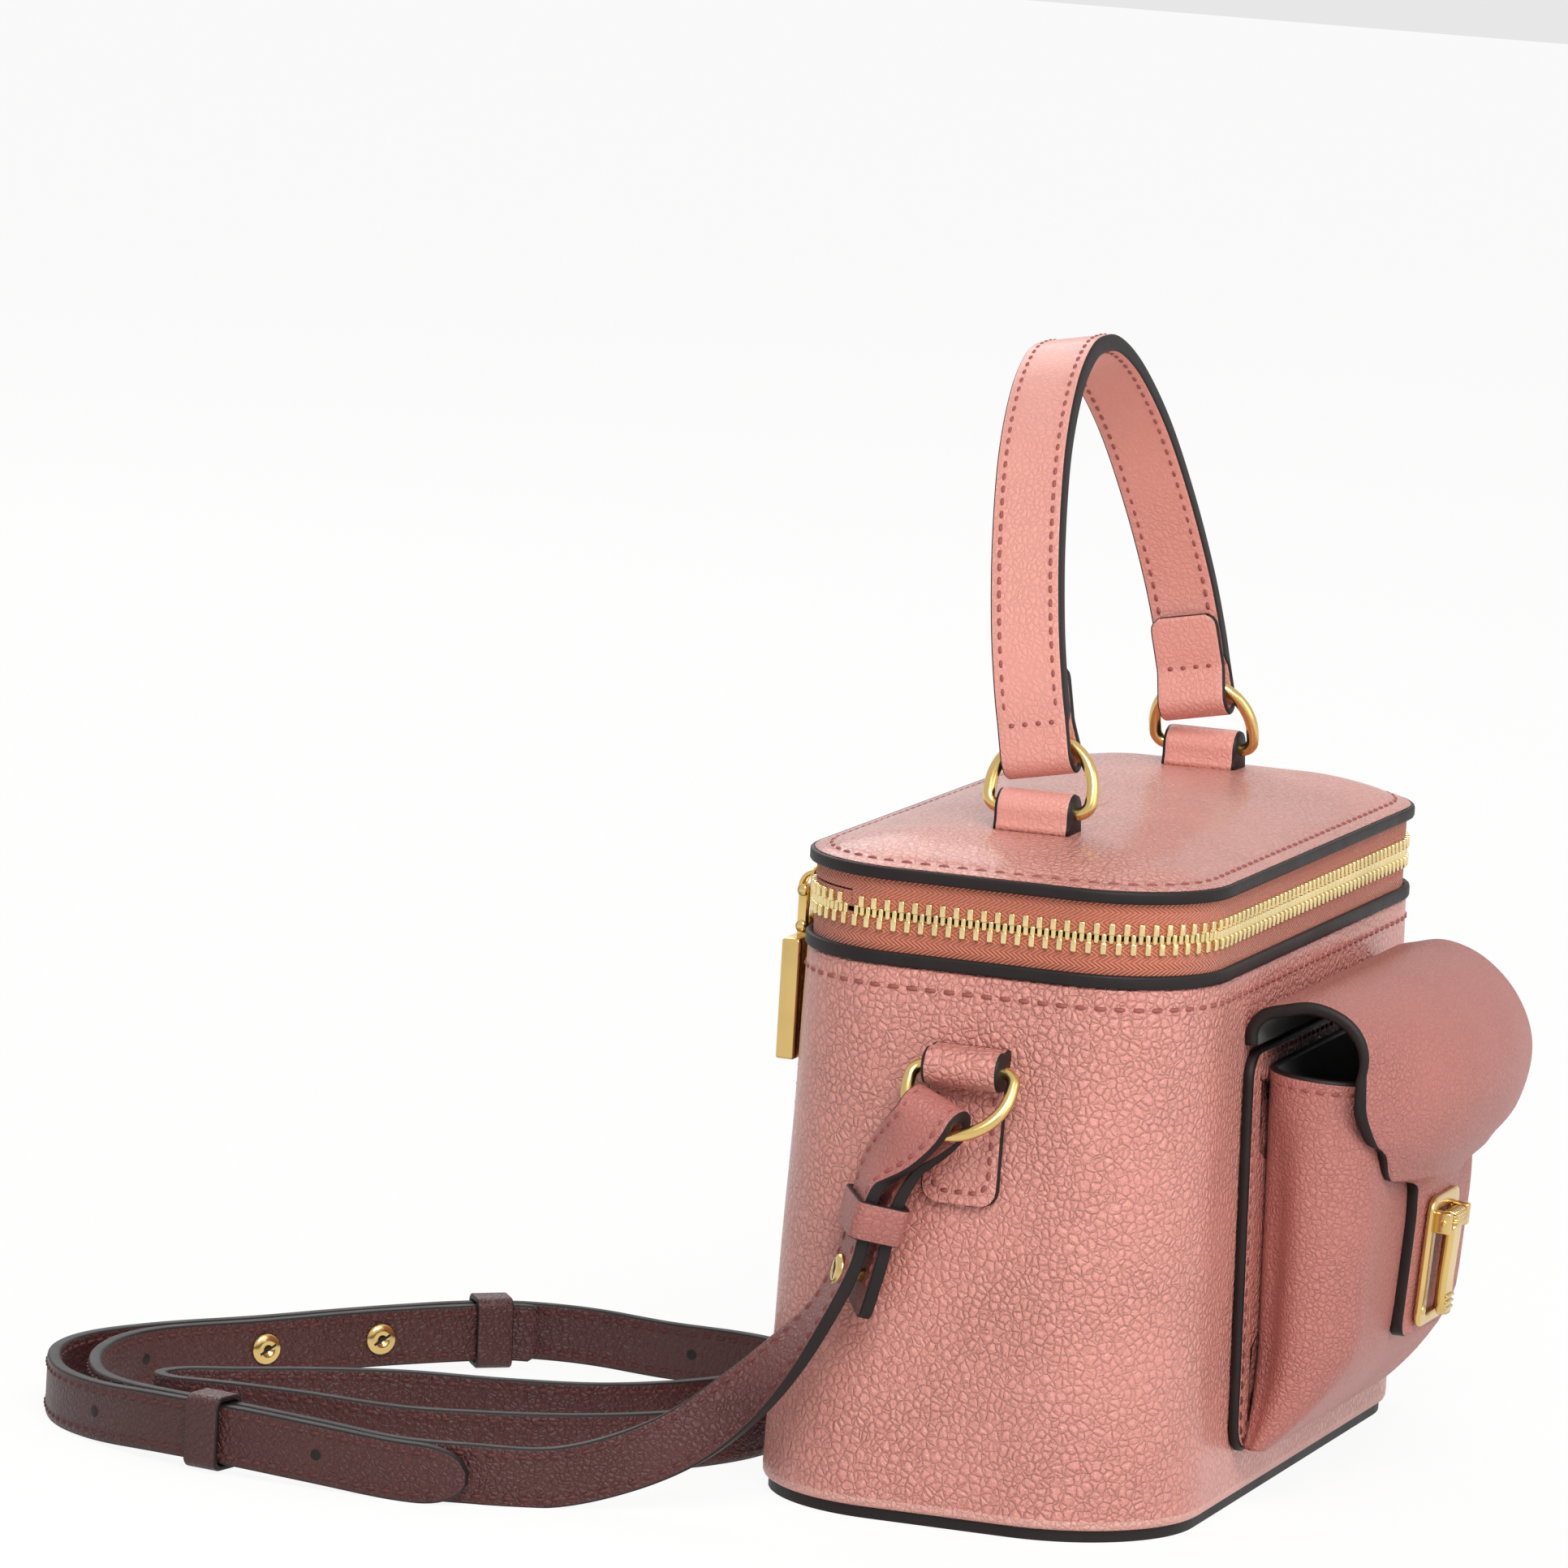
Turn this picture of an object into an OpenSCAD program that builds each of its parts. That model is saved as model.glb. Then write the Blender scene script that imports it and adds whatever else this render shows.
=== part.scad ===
/* [Case body] */
// Length of the case across the rim
rim_l = 168; // [150:1:190]
// Depth of the case across the rim, front to back
rim_w = 82.5; // [74:0.5:92]
// Corner radius of the rim
rim_r = 24; // [18:1:30]
// Length of the case at its base
base_l = 182; // [166:1:204]
// Depth of the case at its base
base_w = 87; // [80:0.5:96]
// Corner radius of the base
base_r = 29.5; // [22:0.5:34]
// Height of the leather wall's top edge
wall_h = 105.4; // [92:0.2:118]
// Thickness of the leather of the wall
leather_t = 1.8; // [1.2:0.1:2.4]
// Thickness of the stiffening board behind the leather
board_t = 1.4; // [1:0.1:2]
// Thickness of the fabric lining
lining_t = 0.7; // [0.5:0.1:1.2]
// Thickness of the base panel
base_t = 2.2; // [1.6:0.1:3]
// How far the base panel stands in from the wall
base_inset = 1.4; // [0.6:0.1:2.4]
// Thickness of the padded floor inside
floor_t = 2.4; // [1.6:0.1:4]
// How far the back panel reaches to each side
back_panel_l = 136; // [110:2:140]
// Thickness of the back panel
back_panel_t = 1.2; // [0.8:0.1:1.6]

/* [Zip] */
// Height of the zip band between the rim edge and the lid edge
zip_h = 13.6; // [12.4:0.2:16]
// Thickness of the zip tape
tape_t = 0.7; // [0.5:0.1:1]
// Pitch of the teeth along one side
tooth_pitch = 2.75; // [2.5:0.05:3.2]
// Length of one tooth along the chain
tooth_l = 1.2; // [1:0.05:1.3]
// Reach of one tooth across the chain
tooth_w = 4; // [3.4:0.1:4.4]
// Thickness of one tooth
tooth_t = 2.4; // [2:0.1:2.8]
// How far the teeth of the two sides overlap
tooth_mesh = 2; // [1.4:0.1:2.4]
// Travel of the slider to its end stop
slider_travel = 11; // [4:0.5:12]
// Length of the slider
slider_l = 11; // [9:0.5:12]
// Width of the slider across the chain
slider_w = 9; // [8.4:0.1:9.4]
// Length of the puller bar
puller_l = 23.5; // [18:0.5:28]
// Width of the puller bar
puller_w = 14; // [10:0.5:16]
// Thickness of the puller bar
puller_t = 3.8; // [2.6:0.1:4]

/* [Lid] */
// Thickness of the dark edge round the lid
lid_edge_t = 2.4; // [1.8:0.1:3.2]
// How far the edge bindings stand out of the case
edge_proud = 0.6; // [0.3:0.1:1]
// Height of the padded crown of the lid
lid_crown = 5.4; // [2:0.2:8]

/* [Handle] */
// Distance between the two handle loops
loop_span = 107.2; // [96:0.4:116]
// Length of each handle loop along its ring bar
loop_w = 15.4; // [13:0.2:16]
// Outer diameter of a rolled leather loop
loop_d = 7.6; // [7:0.2:9]
// Wire diameter of the handle and side rings
wire_d = 2.5; // [2:0.1:2.8]
// Inner width of a ring
ring_in = 18; // [17.6:0.2:20]
// Height of a ring from its bar to its crown, between wire centres
ring_h = 14.2; // [13:0.2:16]
// Width of the handle strap
handle_w = 14.2; // [12:0.2:14.4]
// Thickness of the handle strap
handle_t = 3.4; // [2.6:0.1:3.8]
// Height of the handle arch above its ring folds
handle_rise = 68; // [56:1:80]
// Backward lean of the handle at rest in degrees
handle_lean = 11; // [0:1:14]

/* [Pocket] */
// Width of the pocket's back plate
plate_w = 92; // [80:1:98]
// Height of the lower edge of the back plate
plate_z = 11.5; // [8:0.5:16]
// Height of the upper edge of the back plate
plate_top = 90; // [86:0.5:92]
// Thickness of the back plate
plate_t = 2; // [1.4:0.1:2.6]
// Depth of the pocket out of its back plate
pocket_d = 22; // [16:0.5:26]
// Thickness of the pocket leather
pocket_t = 1.5; // [1:0.1:2]
// Thickness of the flap leather
flap_t = 2.2; // [1.6:0.1:2.6]
// Width of the flap at its root
flap_w = 92; // [80:1:98]
// Width of the flap's tongue
tongue_w = 25; // [22:0.5:32]
// Height of the tongue's lower edge
tongue_z = 31; // [26:0.5:36]

/* [Clasp] */
// Width of the clasp plate
clasp_w = 19; // [16:0.5:20]
// Height of the clasp plate
clasp_h = 26; // [22:0.5:28]
// Thickness of the clasp plate
clasp_t = 1.2; // [0.8:0.1:1.6]

/* [Shoulder strap] */
// Width of the strap
strap_w = 11.5; // [10:0.5:13]
// Thickness of the strap
strap_t = 2.6; // [2:0.1:2.8]

/* [Hidden] */

blush = "#c98a80";
deep_blush = "#b87a6e";
edge_paint = "#3f3a36";
gold = "#d8b46a";
terracotta = "#c9705a";
fabric = "#4a3f3c";
card = "#b9a48c";

$fn = 48;
seat = 0.3;            // clearance between pieces that move past each other
pin_play = 0.06;       // radial play of a pin in its hole
eps = 0.01;            // overlap that lets a cut run clean through
arc_n = 7;             // points along a rounded corner of a lofted outline

// Heights
rim_z = wall_h + 2.6;                      // top of the rim binding
lid_z = rim_z + zip_h;                     // underside of the lid edge
lid_top = lid_z + lid_edge_t;              // upper face of the lid edge
chain_z = (rim_z + lid_z) / 2;             // middle of the zip chain
floor_z = base_t + floor_t;                // floor inside the case

// Zip
tape_in = 0.9;                             // tape's outer face, in from the rim outline
chain_in = tape_in + tape_t / 2;           // middle of the chain's thickness
tape_foot = wall_h + 0.1;                  // where the lower tape is sewn in
tape_tuck = lid_top - 1.2;                 // where the upper tape is sewn in
tape_lip = tooth_w - tooth_mesh / 2 - 1.7;  // tape edge, from the middle of the chain
zip_start = rim_l / 2 - rim_r;             // where the straight back of the zip band begins
zip_split = zip_start + 1.8;               // lid tape starts outside this on the back
slider_x = -zip_start + slider_l / 2 - 0.8; // middle of the slider at rest
end_left_x = slider_x + slider_l / 2 + slider_travel + 4.8; // inner end of the zip's closing end
end_right_x = zip_start - 12;              // inner end of the zip's starting end
split_gap = 1.2;                           // half gap between the parted teeth at the closing end

// Slope of the walls: how much each outline shrinks per millimetre of height
slope_x = (base_l - rim_l) / 2 / wall_h;
slope_y = (base_w - rim_w) / 2 / wall_h;
wall_tilt_x = atan(slope_x);
wall_tilt_y = atan(slope_y);

function mix(a, b, t) = a + (b - a) * t;
function half_l(z) = mix(base_l, rim_l, z / wall_h) / 2;
function half_w(z) = mix(base_w, rim_w, z / wall_h) / 2;
function corner_r(z) = mix(base_r, rim_r, z / wall_h);

function unit(v) = v / norm(v);
function reversed(list) = [for (i = [len(list) - 1:-1:0]) list[i]];

// Closed outline of a rounded rectangle at height z
function round_ring(hx, hy, r, z) = [for (q = [0:3]) for (i = [0:arc_n - 1])
    let (a = 90 * q + 90 * i / (arc_n - 1), sx = (q == 0 || q == 3) ? 1 : -1, sy = q < 2 ? 1 : -1)
    [sx * (hx - r) + r * cos(a), sy * (hy - r) + r * sin(a), z]];

// Outline of the wall at height z, moved in by d
function wall_ring(z, d) =
    round_ring(half_l(z) - d, half_w(z) - d, max(corner_r(z) - d, 1), z);

// Solid through a stack of outlines that have the same number of points
module loft(rings) {
    n = len(rings[0]);
    m = len(rings);
    polyhedron(points = [for (r = rings) for (p = r) p],
        faces = concat([[for (i = [0:n - 1]) i]],
            [for (k = [0:m - 2]) for (i = [0:n - 1])
                [k * n + i, (k + 1) * n + i, (k + 1) * n + (i + 1) % n]],
            [for (k = [0:m - 2]) for (i = [0:n - 1])
                [k * n + i, (k + 1) * n + (i + 1) % n, k * n + (i + 1) % n]],
            [[for (i = [n - 1:-1:0]) (m - 1) * n + i]]));
}

// Flat rounded rectangle with true arcs
module round_rect(hx, hy, r) {
    square([2 * (hx - r), 2 * hy], center = true);
    square([2 * hx, 2 * (hy - r)], center = true);
    for (sx = [-1, 1])
        for (sy = [-1, 1])
            translate([sx * (hx - r), sy * (hy - r)])
                circle(r);
}

// Upright band that follows the rim outline, from depth d to depth d + t
module rim_band(z0, z1, d, t) {
    translate([0, 0, z0])
        linear_extrude(z1 - z0)
            difference() {
                round_rect(rim_l / 2 - d, rim_w / 2 - d, rim_r - d);
                round_rect(rim_l / 2 - d - t, rim_w / 2 - d - t, rim_r - d - t);
            }
}

// Everything on the back between two places along X
module back_window(x0, x1) {
    translate([x0, 0, 0])
        cube([x1 - x0, rim_w, 2 * rim_z]);
}

// Wall shell between two depths and two heights
module wall_shell(d0, d1, z0, z1) {
    difference() {
        loft([wall_ring(z0, d0), wall_ring(z1, d0)]);
        loft([wall_ring(z0 - 1, d1), wall_ring(z1 + 1, d1)]);
    }
}

// Places a child on the left or right end wall: Y along the wall, Z up it, X out of it
module on_end(side, z) {
    translate([side * half_l(z), 0, z])
        rotate([0, -wall_tilt_x, side > 0 ? 0 : 180])
            children();
}

// Places a child on the front wall: X along it, Z up it, -Y out of it
module on_front(z) {
    translate([0, -half_w(z), z])
        rotate([-wall_tilt_y, 0, 0])
            children();
}

// Smooth curve through points, n steps between each two
function curve_point(a, b, c, d, t) =
    0.5 * ((2 * b) + (c - a) * t + (2 * a - 5 * b + 4 * c - d) * t * t
        + (3 * b - a - 3 * c + d) * t * t * t);
function smooth_path(p, n) = let (m = len(p)) concat(
    [for (i = [0:m - 2]) for (k = [0:n - 1])
        curve_point(p[max(i - 1, 0)], p[i], p[i + 1], p[min(i + 2, m - 1)], k / n)],
    [p[m - 1]]);

module base_panel() {
    color(edge_paint)
        linear_extrude(base_t)
            round_rect(base_l / 2 - base_inset, base_w / 2 - base_inset, base_r - base_inset);
}

module wall_leather() {
    color(blush)
        wall_shell(0, leather_t, base_t, wall_h);
}

module wall_board() {
    color(card)
        wall_shell(leather_t, leather_t + board_t, base_t, wall_h);
}

module wall_lining() {
    color(fabric)
        wall_shell(leather_t + board_t, leather_t + board_t + lining_t, base_t, wall_h);
}

// Floor pad that fits inside the lining
module floor_pad(z0, z1) {
    inside = leather_t + board_t + lining_t + 0.1;
    loft([wall_ring(z0, inside), wall_ring(z1, inside)]);
}

module floor_board() {
    color(card)
        floor_pad(base_t, floor_z - lining_t);
}

module floor_lining() {
    color(fabric)
        floor_pad(floor_z - lining_t, floor_z);
}

module back_panel() {
    color(blush)
        intersection() {
            wall_shell(-back_panel_t, 0, base_t + 0.8, wall_h - 0.2);
            translate([-back_panel_l / 2, 0, 0])
                cube([back_panel_l, base_w, wall_h]);
        }
}

module rim_binding() {
    color(edge_paint)
        rim_band(wall_h, rim_z, -edge_proud, edge_proud + tape_in);
}

// The part of the rim outline that carries the zip: all but the middle of the back
module zip_run(x_left, x_right) {
    difference() {
        children();
        back_window(x_left, x_right);
    }
}

module zip_tape_lower() {
    color(terracotta)
        zip_run(end_left_x, end_right_x)
            rim_band(tape_foot, chain_z - tape_lip, tape_in, tape_t);
}

// The lid's tape steps up over the two ends of the chain, which stay on the case
module zip_tape_upper() {
    color(terracotta)
        difference() {
            zip_run(-zip_split, zip_split)
                rim_band(chain_z + tape_lip, tape_tuck, tape_in, tape_t);
            translate([-rim_l / 2, turn_y, 0])
                cube([rim_l, rim_w, chain_z + end_rise + seat]);
        }
}

// Places along the chain, counted from the middle of the front towards the left back
chain_r = rim_r - chain_in;
side_run = rim_w / 2 - rim_r;
turn_run = PI * chain_r / 2;
run_b = zip_start + turn_run;
run_c = run_b + 2 * side_run;
run_d = run_c + turn_run;
lower_tip = chain_z + tooth_mesh / 2;              // tips of the lower teeth
upper_tip = chain_z - tooth_mesh / 2;              // tips of the upper teeth
tooth_top = tooth_w - tooth_mesh / 2;              // outer ends of the teeth, from the middle
end_rise = tooth_top + 0.45;                       // upper edge of the end tapes, from the middle
turn_angle = 30;                                   // the lid's chain reaches this far round a back corner
lid_teeth = floor((run_c + turn_run * turn_angle / 90) / tooth_pitch); // on each half of the lid's chain
end_teeth = floor(run_d / tooth_pitch) - 1;        // meshed teeth up to the straight back

// Position and heading on the left half of the chain at distance s: [x, y, angle]
function chain_at(s) =
    s < zip_start ? [-s, -(side_run + chain_r), 180]
    : s < run_b ? let (a = 90 * (s - zip_start) / turn_run)
        [-(zip_start + chain_r * sin(a)), -(side_run + chain_r * cos(a)), 180 - a]
    : s < run_c ? [-(zip_start + chain_r), s - run_b - side_run, 90]
    : s < run_d ? let (a = 90 * (s - run_c) / turn_run)
        [-(zip_start + chain_r * cos(a)), side_run + chain_r * sin(a), 90 - a]
    : [-zip_start + (s - run_d), side_run + chain_r, 0];

// Behind this line the chain stays on the case
turn_y = chain_at(lid_teeth * tooth_pitch)[1];

// One tooth, with its lower end at height z
module tooth(s, right, z) {
    p = chain_at(s);
    mirror([right, 0, 0])
        translate([p[0], p[1], z])
            rotate([0, 0, p[2]])
                translate([-tooth_l / 2, -tooth_t / 2, 0])
                    cube([tooth_l, tooth_t, tooth_w]);
}

module zip_teeth_lower() {
    color(gold)
        for (right = [0, 1])
            for (i = [0:lid_teeth - 1])
                tooth((i + 0.5) * tooth_pitch, right, lower_tip - tooth_w);
}

module zip_teeth_upper() {
    color(gold)
        for (right = [0, 1])
            for (i = [right:lid_teeth - 1])
                tooth(i * tooth_pitch, right, upper_tip);
}

// Upper tape of one end of the zip, on the case from the corner on
module end_tape(right, x_end) {
    mirror([right, 0, 0])
        difference() {
            rim_band(chain_z + tape_lip, chain_z + end_rise, tape_in, tape_t);
            translate([-rim_l, turn_y + seat - 2 * rim_w, 0])
                cube([2 * rim_l, 2 * rim_w, 2 * rim_z]);
            translate([x_end, 0, 0])
                cube([2 * rim_l, rim_w, 2 * rim_z]);
        }
}

// Meshed teeth between the lid's chain and the straight back
module end_meshed(right) {
    for (i = [lid_teeth:end_teeth - 1]) {
        tooth((i + 0.5) * tooth_pitch, right, lower_tip - tooth_w);
        tooth((i + 1) * tooth_pitch, right, upper_tip);
    }
}

// Metal stop across both tapes
module end_stop(x) {
    translate([x, side_run + chain_r - tooth_t / 2, chain_z - tooth_top + 0.6])
        cube([1.8, tooth_t, 2 * (tooth_top - 0.6)]);
}

// Closing end of the zip: the last teeth are parted, ahead of the slider's nose
module zip_end_left() {
    parted = floor((end_left_x + zip_start - 4) / tooth_pitch);
    color(terracotta)
        end_tape(0, end_left_x);
    color(gold) {
        end_meshed(0);
        for (i = [0:parted - 1]) {
            tooth(run_d + i * tooth_pitch, 0, chain_z - split_gap - tooth_w);
            tooth(run_d + i * tooth_pitch, 0, chain_z + split_gap);
        }
        end_stop(end_left_x - 2.2);
    }
}

// Starting end of the zip, meshed up to its box
module zip_end_right() {
    color(terracotta)
        end_tape(1, -end_right_x);
    color(gold) {
        end_meshed(1);
        mirror([1, 0, 0])
            end_stop(-end_right_x - 6);
    }
}

// Hinge leather fills the back between the two zip ends
hinge_x0 = end_left_x + 0.6;
hinge_x1 = end_right_x - 0.6;
hinge_t = 1;                               // thickness of the hinge leather
hinge_y = rim_w / 2 - tape_in - hinge_t / 2; // lid hinge line, in the middle of the leather
hinge_z = chain_z - 2.5;
hinge_gap = 1.1;                           // hinge leather stops this far from the hinge line

module hinge_strip(z0, z1) {
    translate([hinge_x0, hinge_y - hinge_t / 2, z0])
        cube([hinge_x1 - hinge_x0, hinge_t, z1 - z0]);
}

module hinge_leather_lower() {
    color(deep_blush)
        hinge_strip(tape_foot, hinge_z - hinge_gap);
}

module hinge_leather_upper() {
    color(deep_blush)
        hinge_strip(hinge_z + hinge_gap, tape_tuck);
}

// Zip slider: two plates held together by the wedge at its nose
slider_y = side_run + chain_r;                     // middle of the chain on the back
plate_gap = tooth_t / 2 + seat;                    // plates lie this far from the middle
slider_plate_t = 1.1;
wedge_l = 2.4;
bail_t = 1;                                         // thickness of the crown
bail_w = 3;                                        // width of the crown that holds the puller
bail_rise = 2.9;                                   // inner height of the crown
link_pin_r = 0.9;                                  // radius of the link's cross bar
bail_y = slider_y + plate_gap + slider_plate_t;    // outer face of the slider
pin_y = bail_y + bail_rise / 2 + 0.2;              // hinge line of the puller link
pin_z = chain_z - 1;

module zip_slider() {
    color(gold) {
        for (s = [-1, 1])
            translate([slider_x - slider_l / 2,
                slider_y + (s > 0 ? plate_gap : -plate_gap - slider_plate_t), chain_z - slider_w / 2])
                cube([slider_l, slider_plate_t, slider_w]);
        // wedge between the parted teeth
        translate([slider_x + slider_l / 2 - wedge_l, slider_y - plate_gap - eps, chain_z - split_gap + seat])
            cube([wedge_l, 2 * (plate_gap + eps), 2 * (split_gap - seat)]);
        // crown over the puller link
        translate([slider_x - bail_w / 2, bail_y - eps, pin_z])
            rotate([0, 90, 0])
                difference() {
                    cylinder(r = bail_rise + bail_t, h = bail_w);
                    translate([0, 0, -eps])
                        cylinder(r = bail_rise, h = bail_w + 2 * eps);
                    translate([-8, -8, -eps])
                        cube([16, 8, bail_w + 2 * eps]);
                }
    }
}

link_w = 8.6;                                      // outer width of the link
link_drop = 7;                                     // from the link's cross bar to the puller's pin
bar_pin_z = pin_z - link_drop;
bar_pin_r = 0.9;

// Link: a bar through the crown, two cheeks and a pin for the puller
module puller_link() {
    color(gold) {
        translate([slider_x - link_w / 2, pin_y, pin_z])
            rotate([0, 90, 0])
                cylinder(r = link_pin_r, h = link_w);
        for (s = [-1, 1])
            translate([slider_x + s * (link_w / 2 - 0.8) - 0.8, pin_y - 1, bar_pin_z])
                cube([1.6, 2, link_drop]);
        translate([slider_x - link_w / 2, pin_y, bar_pin_z])
            rotate([0, 90, 0])
                cylinder(r = bar_pin_r, h = link_w);
    }
}

eye_w = link_w - 3.2 - 2 * seat;                   // the bar's eye sits between the cheeks
eye_r = 1.6;
bar_top = bar_pin_z - 2.2;                         // shoulders of the bar
bar_y = pin_y + 1 - puller_t / 2;                  // back of the bar, clear of the wall

module puller_bar() {
    color(gold)
        difference() {
            union() {
                translate([slider_x - eye_w / 2, bar_y, bar_top - 1])
                    cube([eye_w, pin_y + eye_r - bar_y, bar_pin_z - bar_top + 1]);
                translate([slider_x - eye_w / 2, pin_y, bar_pin_z])
                    rotate([0, 90, 0])
                        cylinder(r = eye_r, h = eye_w);
                translate([slider_x - puller_w / 2, bar_y, bar_top - puller_l])
                    cube([puller_w, puller_t, puller_l]);
            }
            translate([slider_x - eye_w, pin_y, bar_pin_z])
                rotate([0, 90, 0])
                    cylinder(r = bar_pin_r + pin_play, h = 2 * eye_w);
        }
}

// Height of the padded lid above its edge, a distance d in from the outline
function crown_rise(d) = lid_crown * (1 - pow(1 - min(d / 34, 1), 2.4));

module lid_panel() {
    insets = [0, 0.8, 2, 4, 7, 11, 16, 22, 29, 36];
    color(blush)
        loft(concat([for (z = [tape_tuck + 0.1, lid_top])
                round_ring(rim_l / 2 - 0.8, rim_w / 2 - 0.8, rim_r - 0.8, z)],
            [for (d = insets) let (g = 0.2 + d)
                round_ring(rim_l / 2 - g, rim_w / 2 - g, max(rim_r - g, 4), lid_top + crown_rise(d))]));
}

// Board and lining sit inside the lid's tape
lid_inner = tape_in + tape_t + 0.5;

module lid_plate(z0, z1) {
    translate([0, 0, z0])
        linear_extrude(z1 - z0)
            round_rect(rim_l / 2 - lid_inner, rim_w / 2 - lid_inner, rim_r - lid_inner);
}

module lid_board() {
    color(card)
        lid_plate(tape_tuck - board_t, tape_tuck);
}

module lid_lining() {
    color(fabric)
        lid_plate(tape_tuck - board_t - lining_t, tape_tuck - board_t);
}

module lid_binding() {
    color(edge_paint)
        rim_band(lid_z, lid_top, -edge_proud, edge_proud + 0.7);
}

// Handle: rings stand in the lid's loops and carry the folded strap ends
loop_x = loop_span / 2;
loop_z = lid_top + lid_crown + loop_d / 2 + 0.05;  // bar of a ring in its loop
ring_w = ring_in + wire_d;                         // between the centres of the ring's legs
ring_bend = 2.5;                                   // bend radius between the bar and a leg
ring_tilt = 18;                                    // inward tilt of the rings at rest
crown_x = loop_x - ring_h * sin(ring_tilt);        // crown of a ring, at rest
crown_z = loop_z + ring_h * cos(ring_tilt);
crown_centre_z = loop_z + (ring_h - ring_w / 2) * cos(ring_tilt);

// D ring in the YZ plane: its straight bar at the origin, its crown at height ring_h
module d_ring() {
    leg = ring_h - ring_w / 2 - ring_bend;
    rotate([90, 0, 90]) {
        translate([-ring_w / 2 + ring_bend, 0, 0])
            rotate([0, 90, 0])
                cylinder(d = wire_d, h = ring_w - 2 * ring_bend);
        for (s = [0, 1])
            mirror([s, 0, 0]) {
                translate([ring_w / 2 - ring_bend, ring_bend, 0])
                    rotate([0, 0, -90])
                        rotate_extrude(angle = 90)
                            translate([ring_bend, 0])
                                circle(d = wire_d);
                translate([ring_w / 2, ring_bend, 0])
                    rotate([-90, 0, 0])
                        cylinder(d = wire_d, h = leg);
            }
        translate([0, ring_h - ring_w / 2, 0])
            rotate_extrude(angle = 180)
                translate([ring_w / 2, 0])
                    circle(d = wire_d);
    }
}

// Rolled leather loop along Y with the ring's bar through it; its foot points down
module leather_loop(w, foot) {
    difference() {
        union() {
            translate([0, w / 2, 0])
                rotate([90, 0, 0])
                    cylinder(d = loop_d, h = w);
            translate([-loop_d / 2, -w / 2, -foot])
                cube([loop_d, w, foot]);
        }
        translate([0, w, 0])
            rotate([90, 0, 0])
                cylinder(r = wire_d / 2 + pin_play, h = 2 * w);
    }
}

module lid_loop(side) {
    color(blush)
        translate([side * loop_x, 0, loop_z])
            leather_loop(loop_w, loop_d / 2);
}

module lid_loop_left() {
    lid_loop(-1);
}

module lid_loop_right() {
    lid_loop(1);
}

module handle_ring(side) {
    color(gold)
        translate([side * loop_x, 0, loop_z])
            rotate([0, -side * ring_tilt, 0])
                d_ring();
}

module handle_ring_left() {
    handle_ring(-1);
}

module handle_ring_right() {
    handle_ring(1);
}

// The handle leans back about the centre line of the ring crowns
module handle_frame() {
    translate([0, 0, crown_centre_z])
        rotate([-handle_lean, 0, 0])
            children();
}

slot_w = 5;                                        // room for the wire inside a fold
slot_over = 0.5;                                   // room above the wire's crown
slot_drop = 7.6;                                   // the slot's height
fold_ply = 1.5;                                    // one ply of leather round the ring
crown_s = crown_z - crown_centre_z;                // crown, above the handle's pivot
stitch_s = crown_s + wire_d / 2 + slot_over + 1.4; // row of stitches that closes the fold
fold_out = slot_w / 2 + fold_ply;                  // outer face of the fold
limb_tilt = 6;                                     // inward tilt of the strap at its ends
tab_l = 10.4;                                      // turned-back end, above the stitches

// One end of the strap folded round its ring, and the turned-back end on the inside
module handle_end(side) {
    handle_frame()
        translate([side * crown_x, 0, stitch_s])
            rotate([0, -side * limb_tilt, 0])
                mirror([side < 0 ? 1 : 0, 0, 0])
                    translate([0, handle_w / 2, 0])
                        rotate([90, 0, 0])
                            linear_extrude(handle_w)
                                difference() {
                                    union() {
                                        translate([-fold_out, -1.4 - slot_drop - fold_ply + fold_out])
                                            square([2 * fold_out, 1.4 + slot_drop + fold_ply - fold_out]);
                                        translate([0, -1.4 - slot_drop - fold_ply + fold_out])
                                            circle(fold_out);
                                        translate([fold_out - handle_t - 2 * seat - 2 * fold_ply, -eps])
                                            square([fold_ply + 1.2, tab_l]);
                                    }
                                    translate([-slot_w / 2, -1.4 - slot_drop + slot_w / 2])
                                        square([slot_w, slot_drop - slot_w + 1.2]);
                                    translate([0, -1.4 - slot_drop + slot_w / 2])
                                        circle(slot_w / 2);
                                    translate([0, -1.4 - slot_w / 2 + 1.2])
                                        circle(slot_w / 2);
                                }
}

module handle_ends() {
    color(blush) {
        handle_end(-1);
        handle_end(1);
    }
}

// Middle line of the handle strap in its own plane, from one end to the crest
strap_foot_x = crown_x + fold_out - handle_t / 2 - 0.4;
strap_foot_s = stitch_s + 0.2;
half_arch = [[1, 0], [0.99, 0.1], [0.94, 0.27], [0.82, 0.49], [0.63, 0.72], [0.4, 0.89], [0.18, 0.98],
    [0, 1]];
left_arch = [for (p = half_arch) [-p[0] * strap_foot_x, strap_foot_s + p[1] * handle_rise]];
right_arch = [for (i = [len(left_arch) - 2:-1:0]) [-left_arch[i][0], left_arch[i][1]]];
arch_path = smooth_path(concat(left_arch, right_arch), 4);

// Flat strap carried along a path in the XZ plane, width along Y
module swept_strap(path, w, t) {
    n = len(path);
    tangents = [for (i = [0:n - 1])
        unit(path[min(i + 1, n - 1)] - path[max(i - 1, 0)])];
    rings = [for (i = [0:n - 1])
        let (q = [-tangents[i][1], tangents[i][0]] * t / 2, p = path[i])
            [[p[0] - q[0], -w / 2, p[1] - q[1]], [p[0] + q[0], -w / 2, p[1] + q[1]],
                [p[0] + q[0], w / 2, p[1] + q[1]], [p[0] - q[0], w / 2, p[1] - q[1]]]];
    loft(rings);
}

module handle_strap() {
    color(blush)
        handle_frame()
            swept_strap(arch_path, handle_w, handle_t);
}

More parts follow.
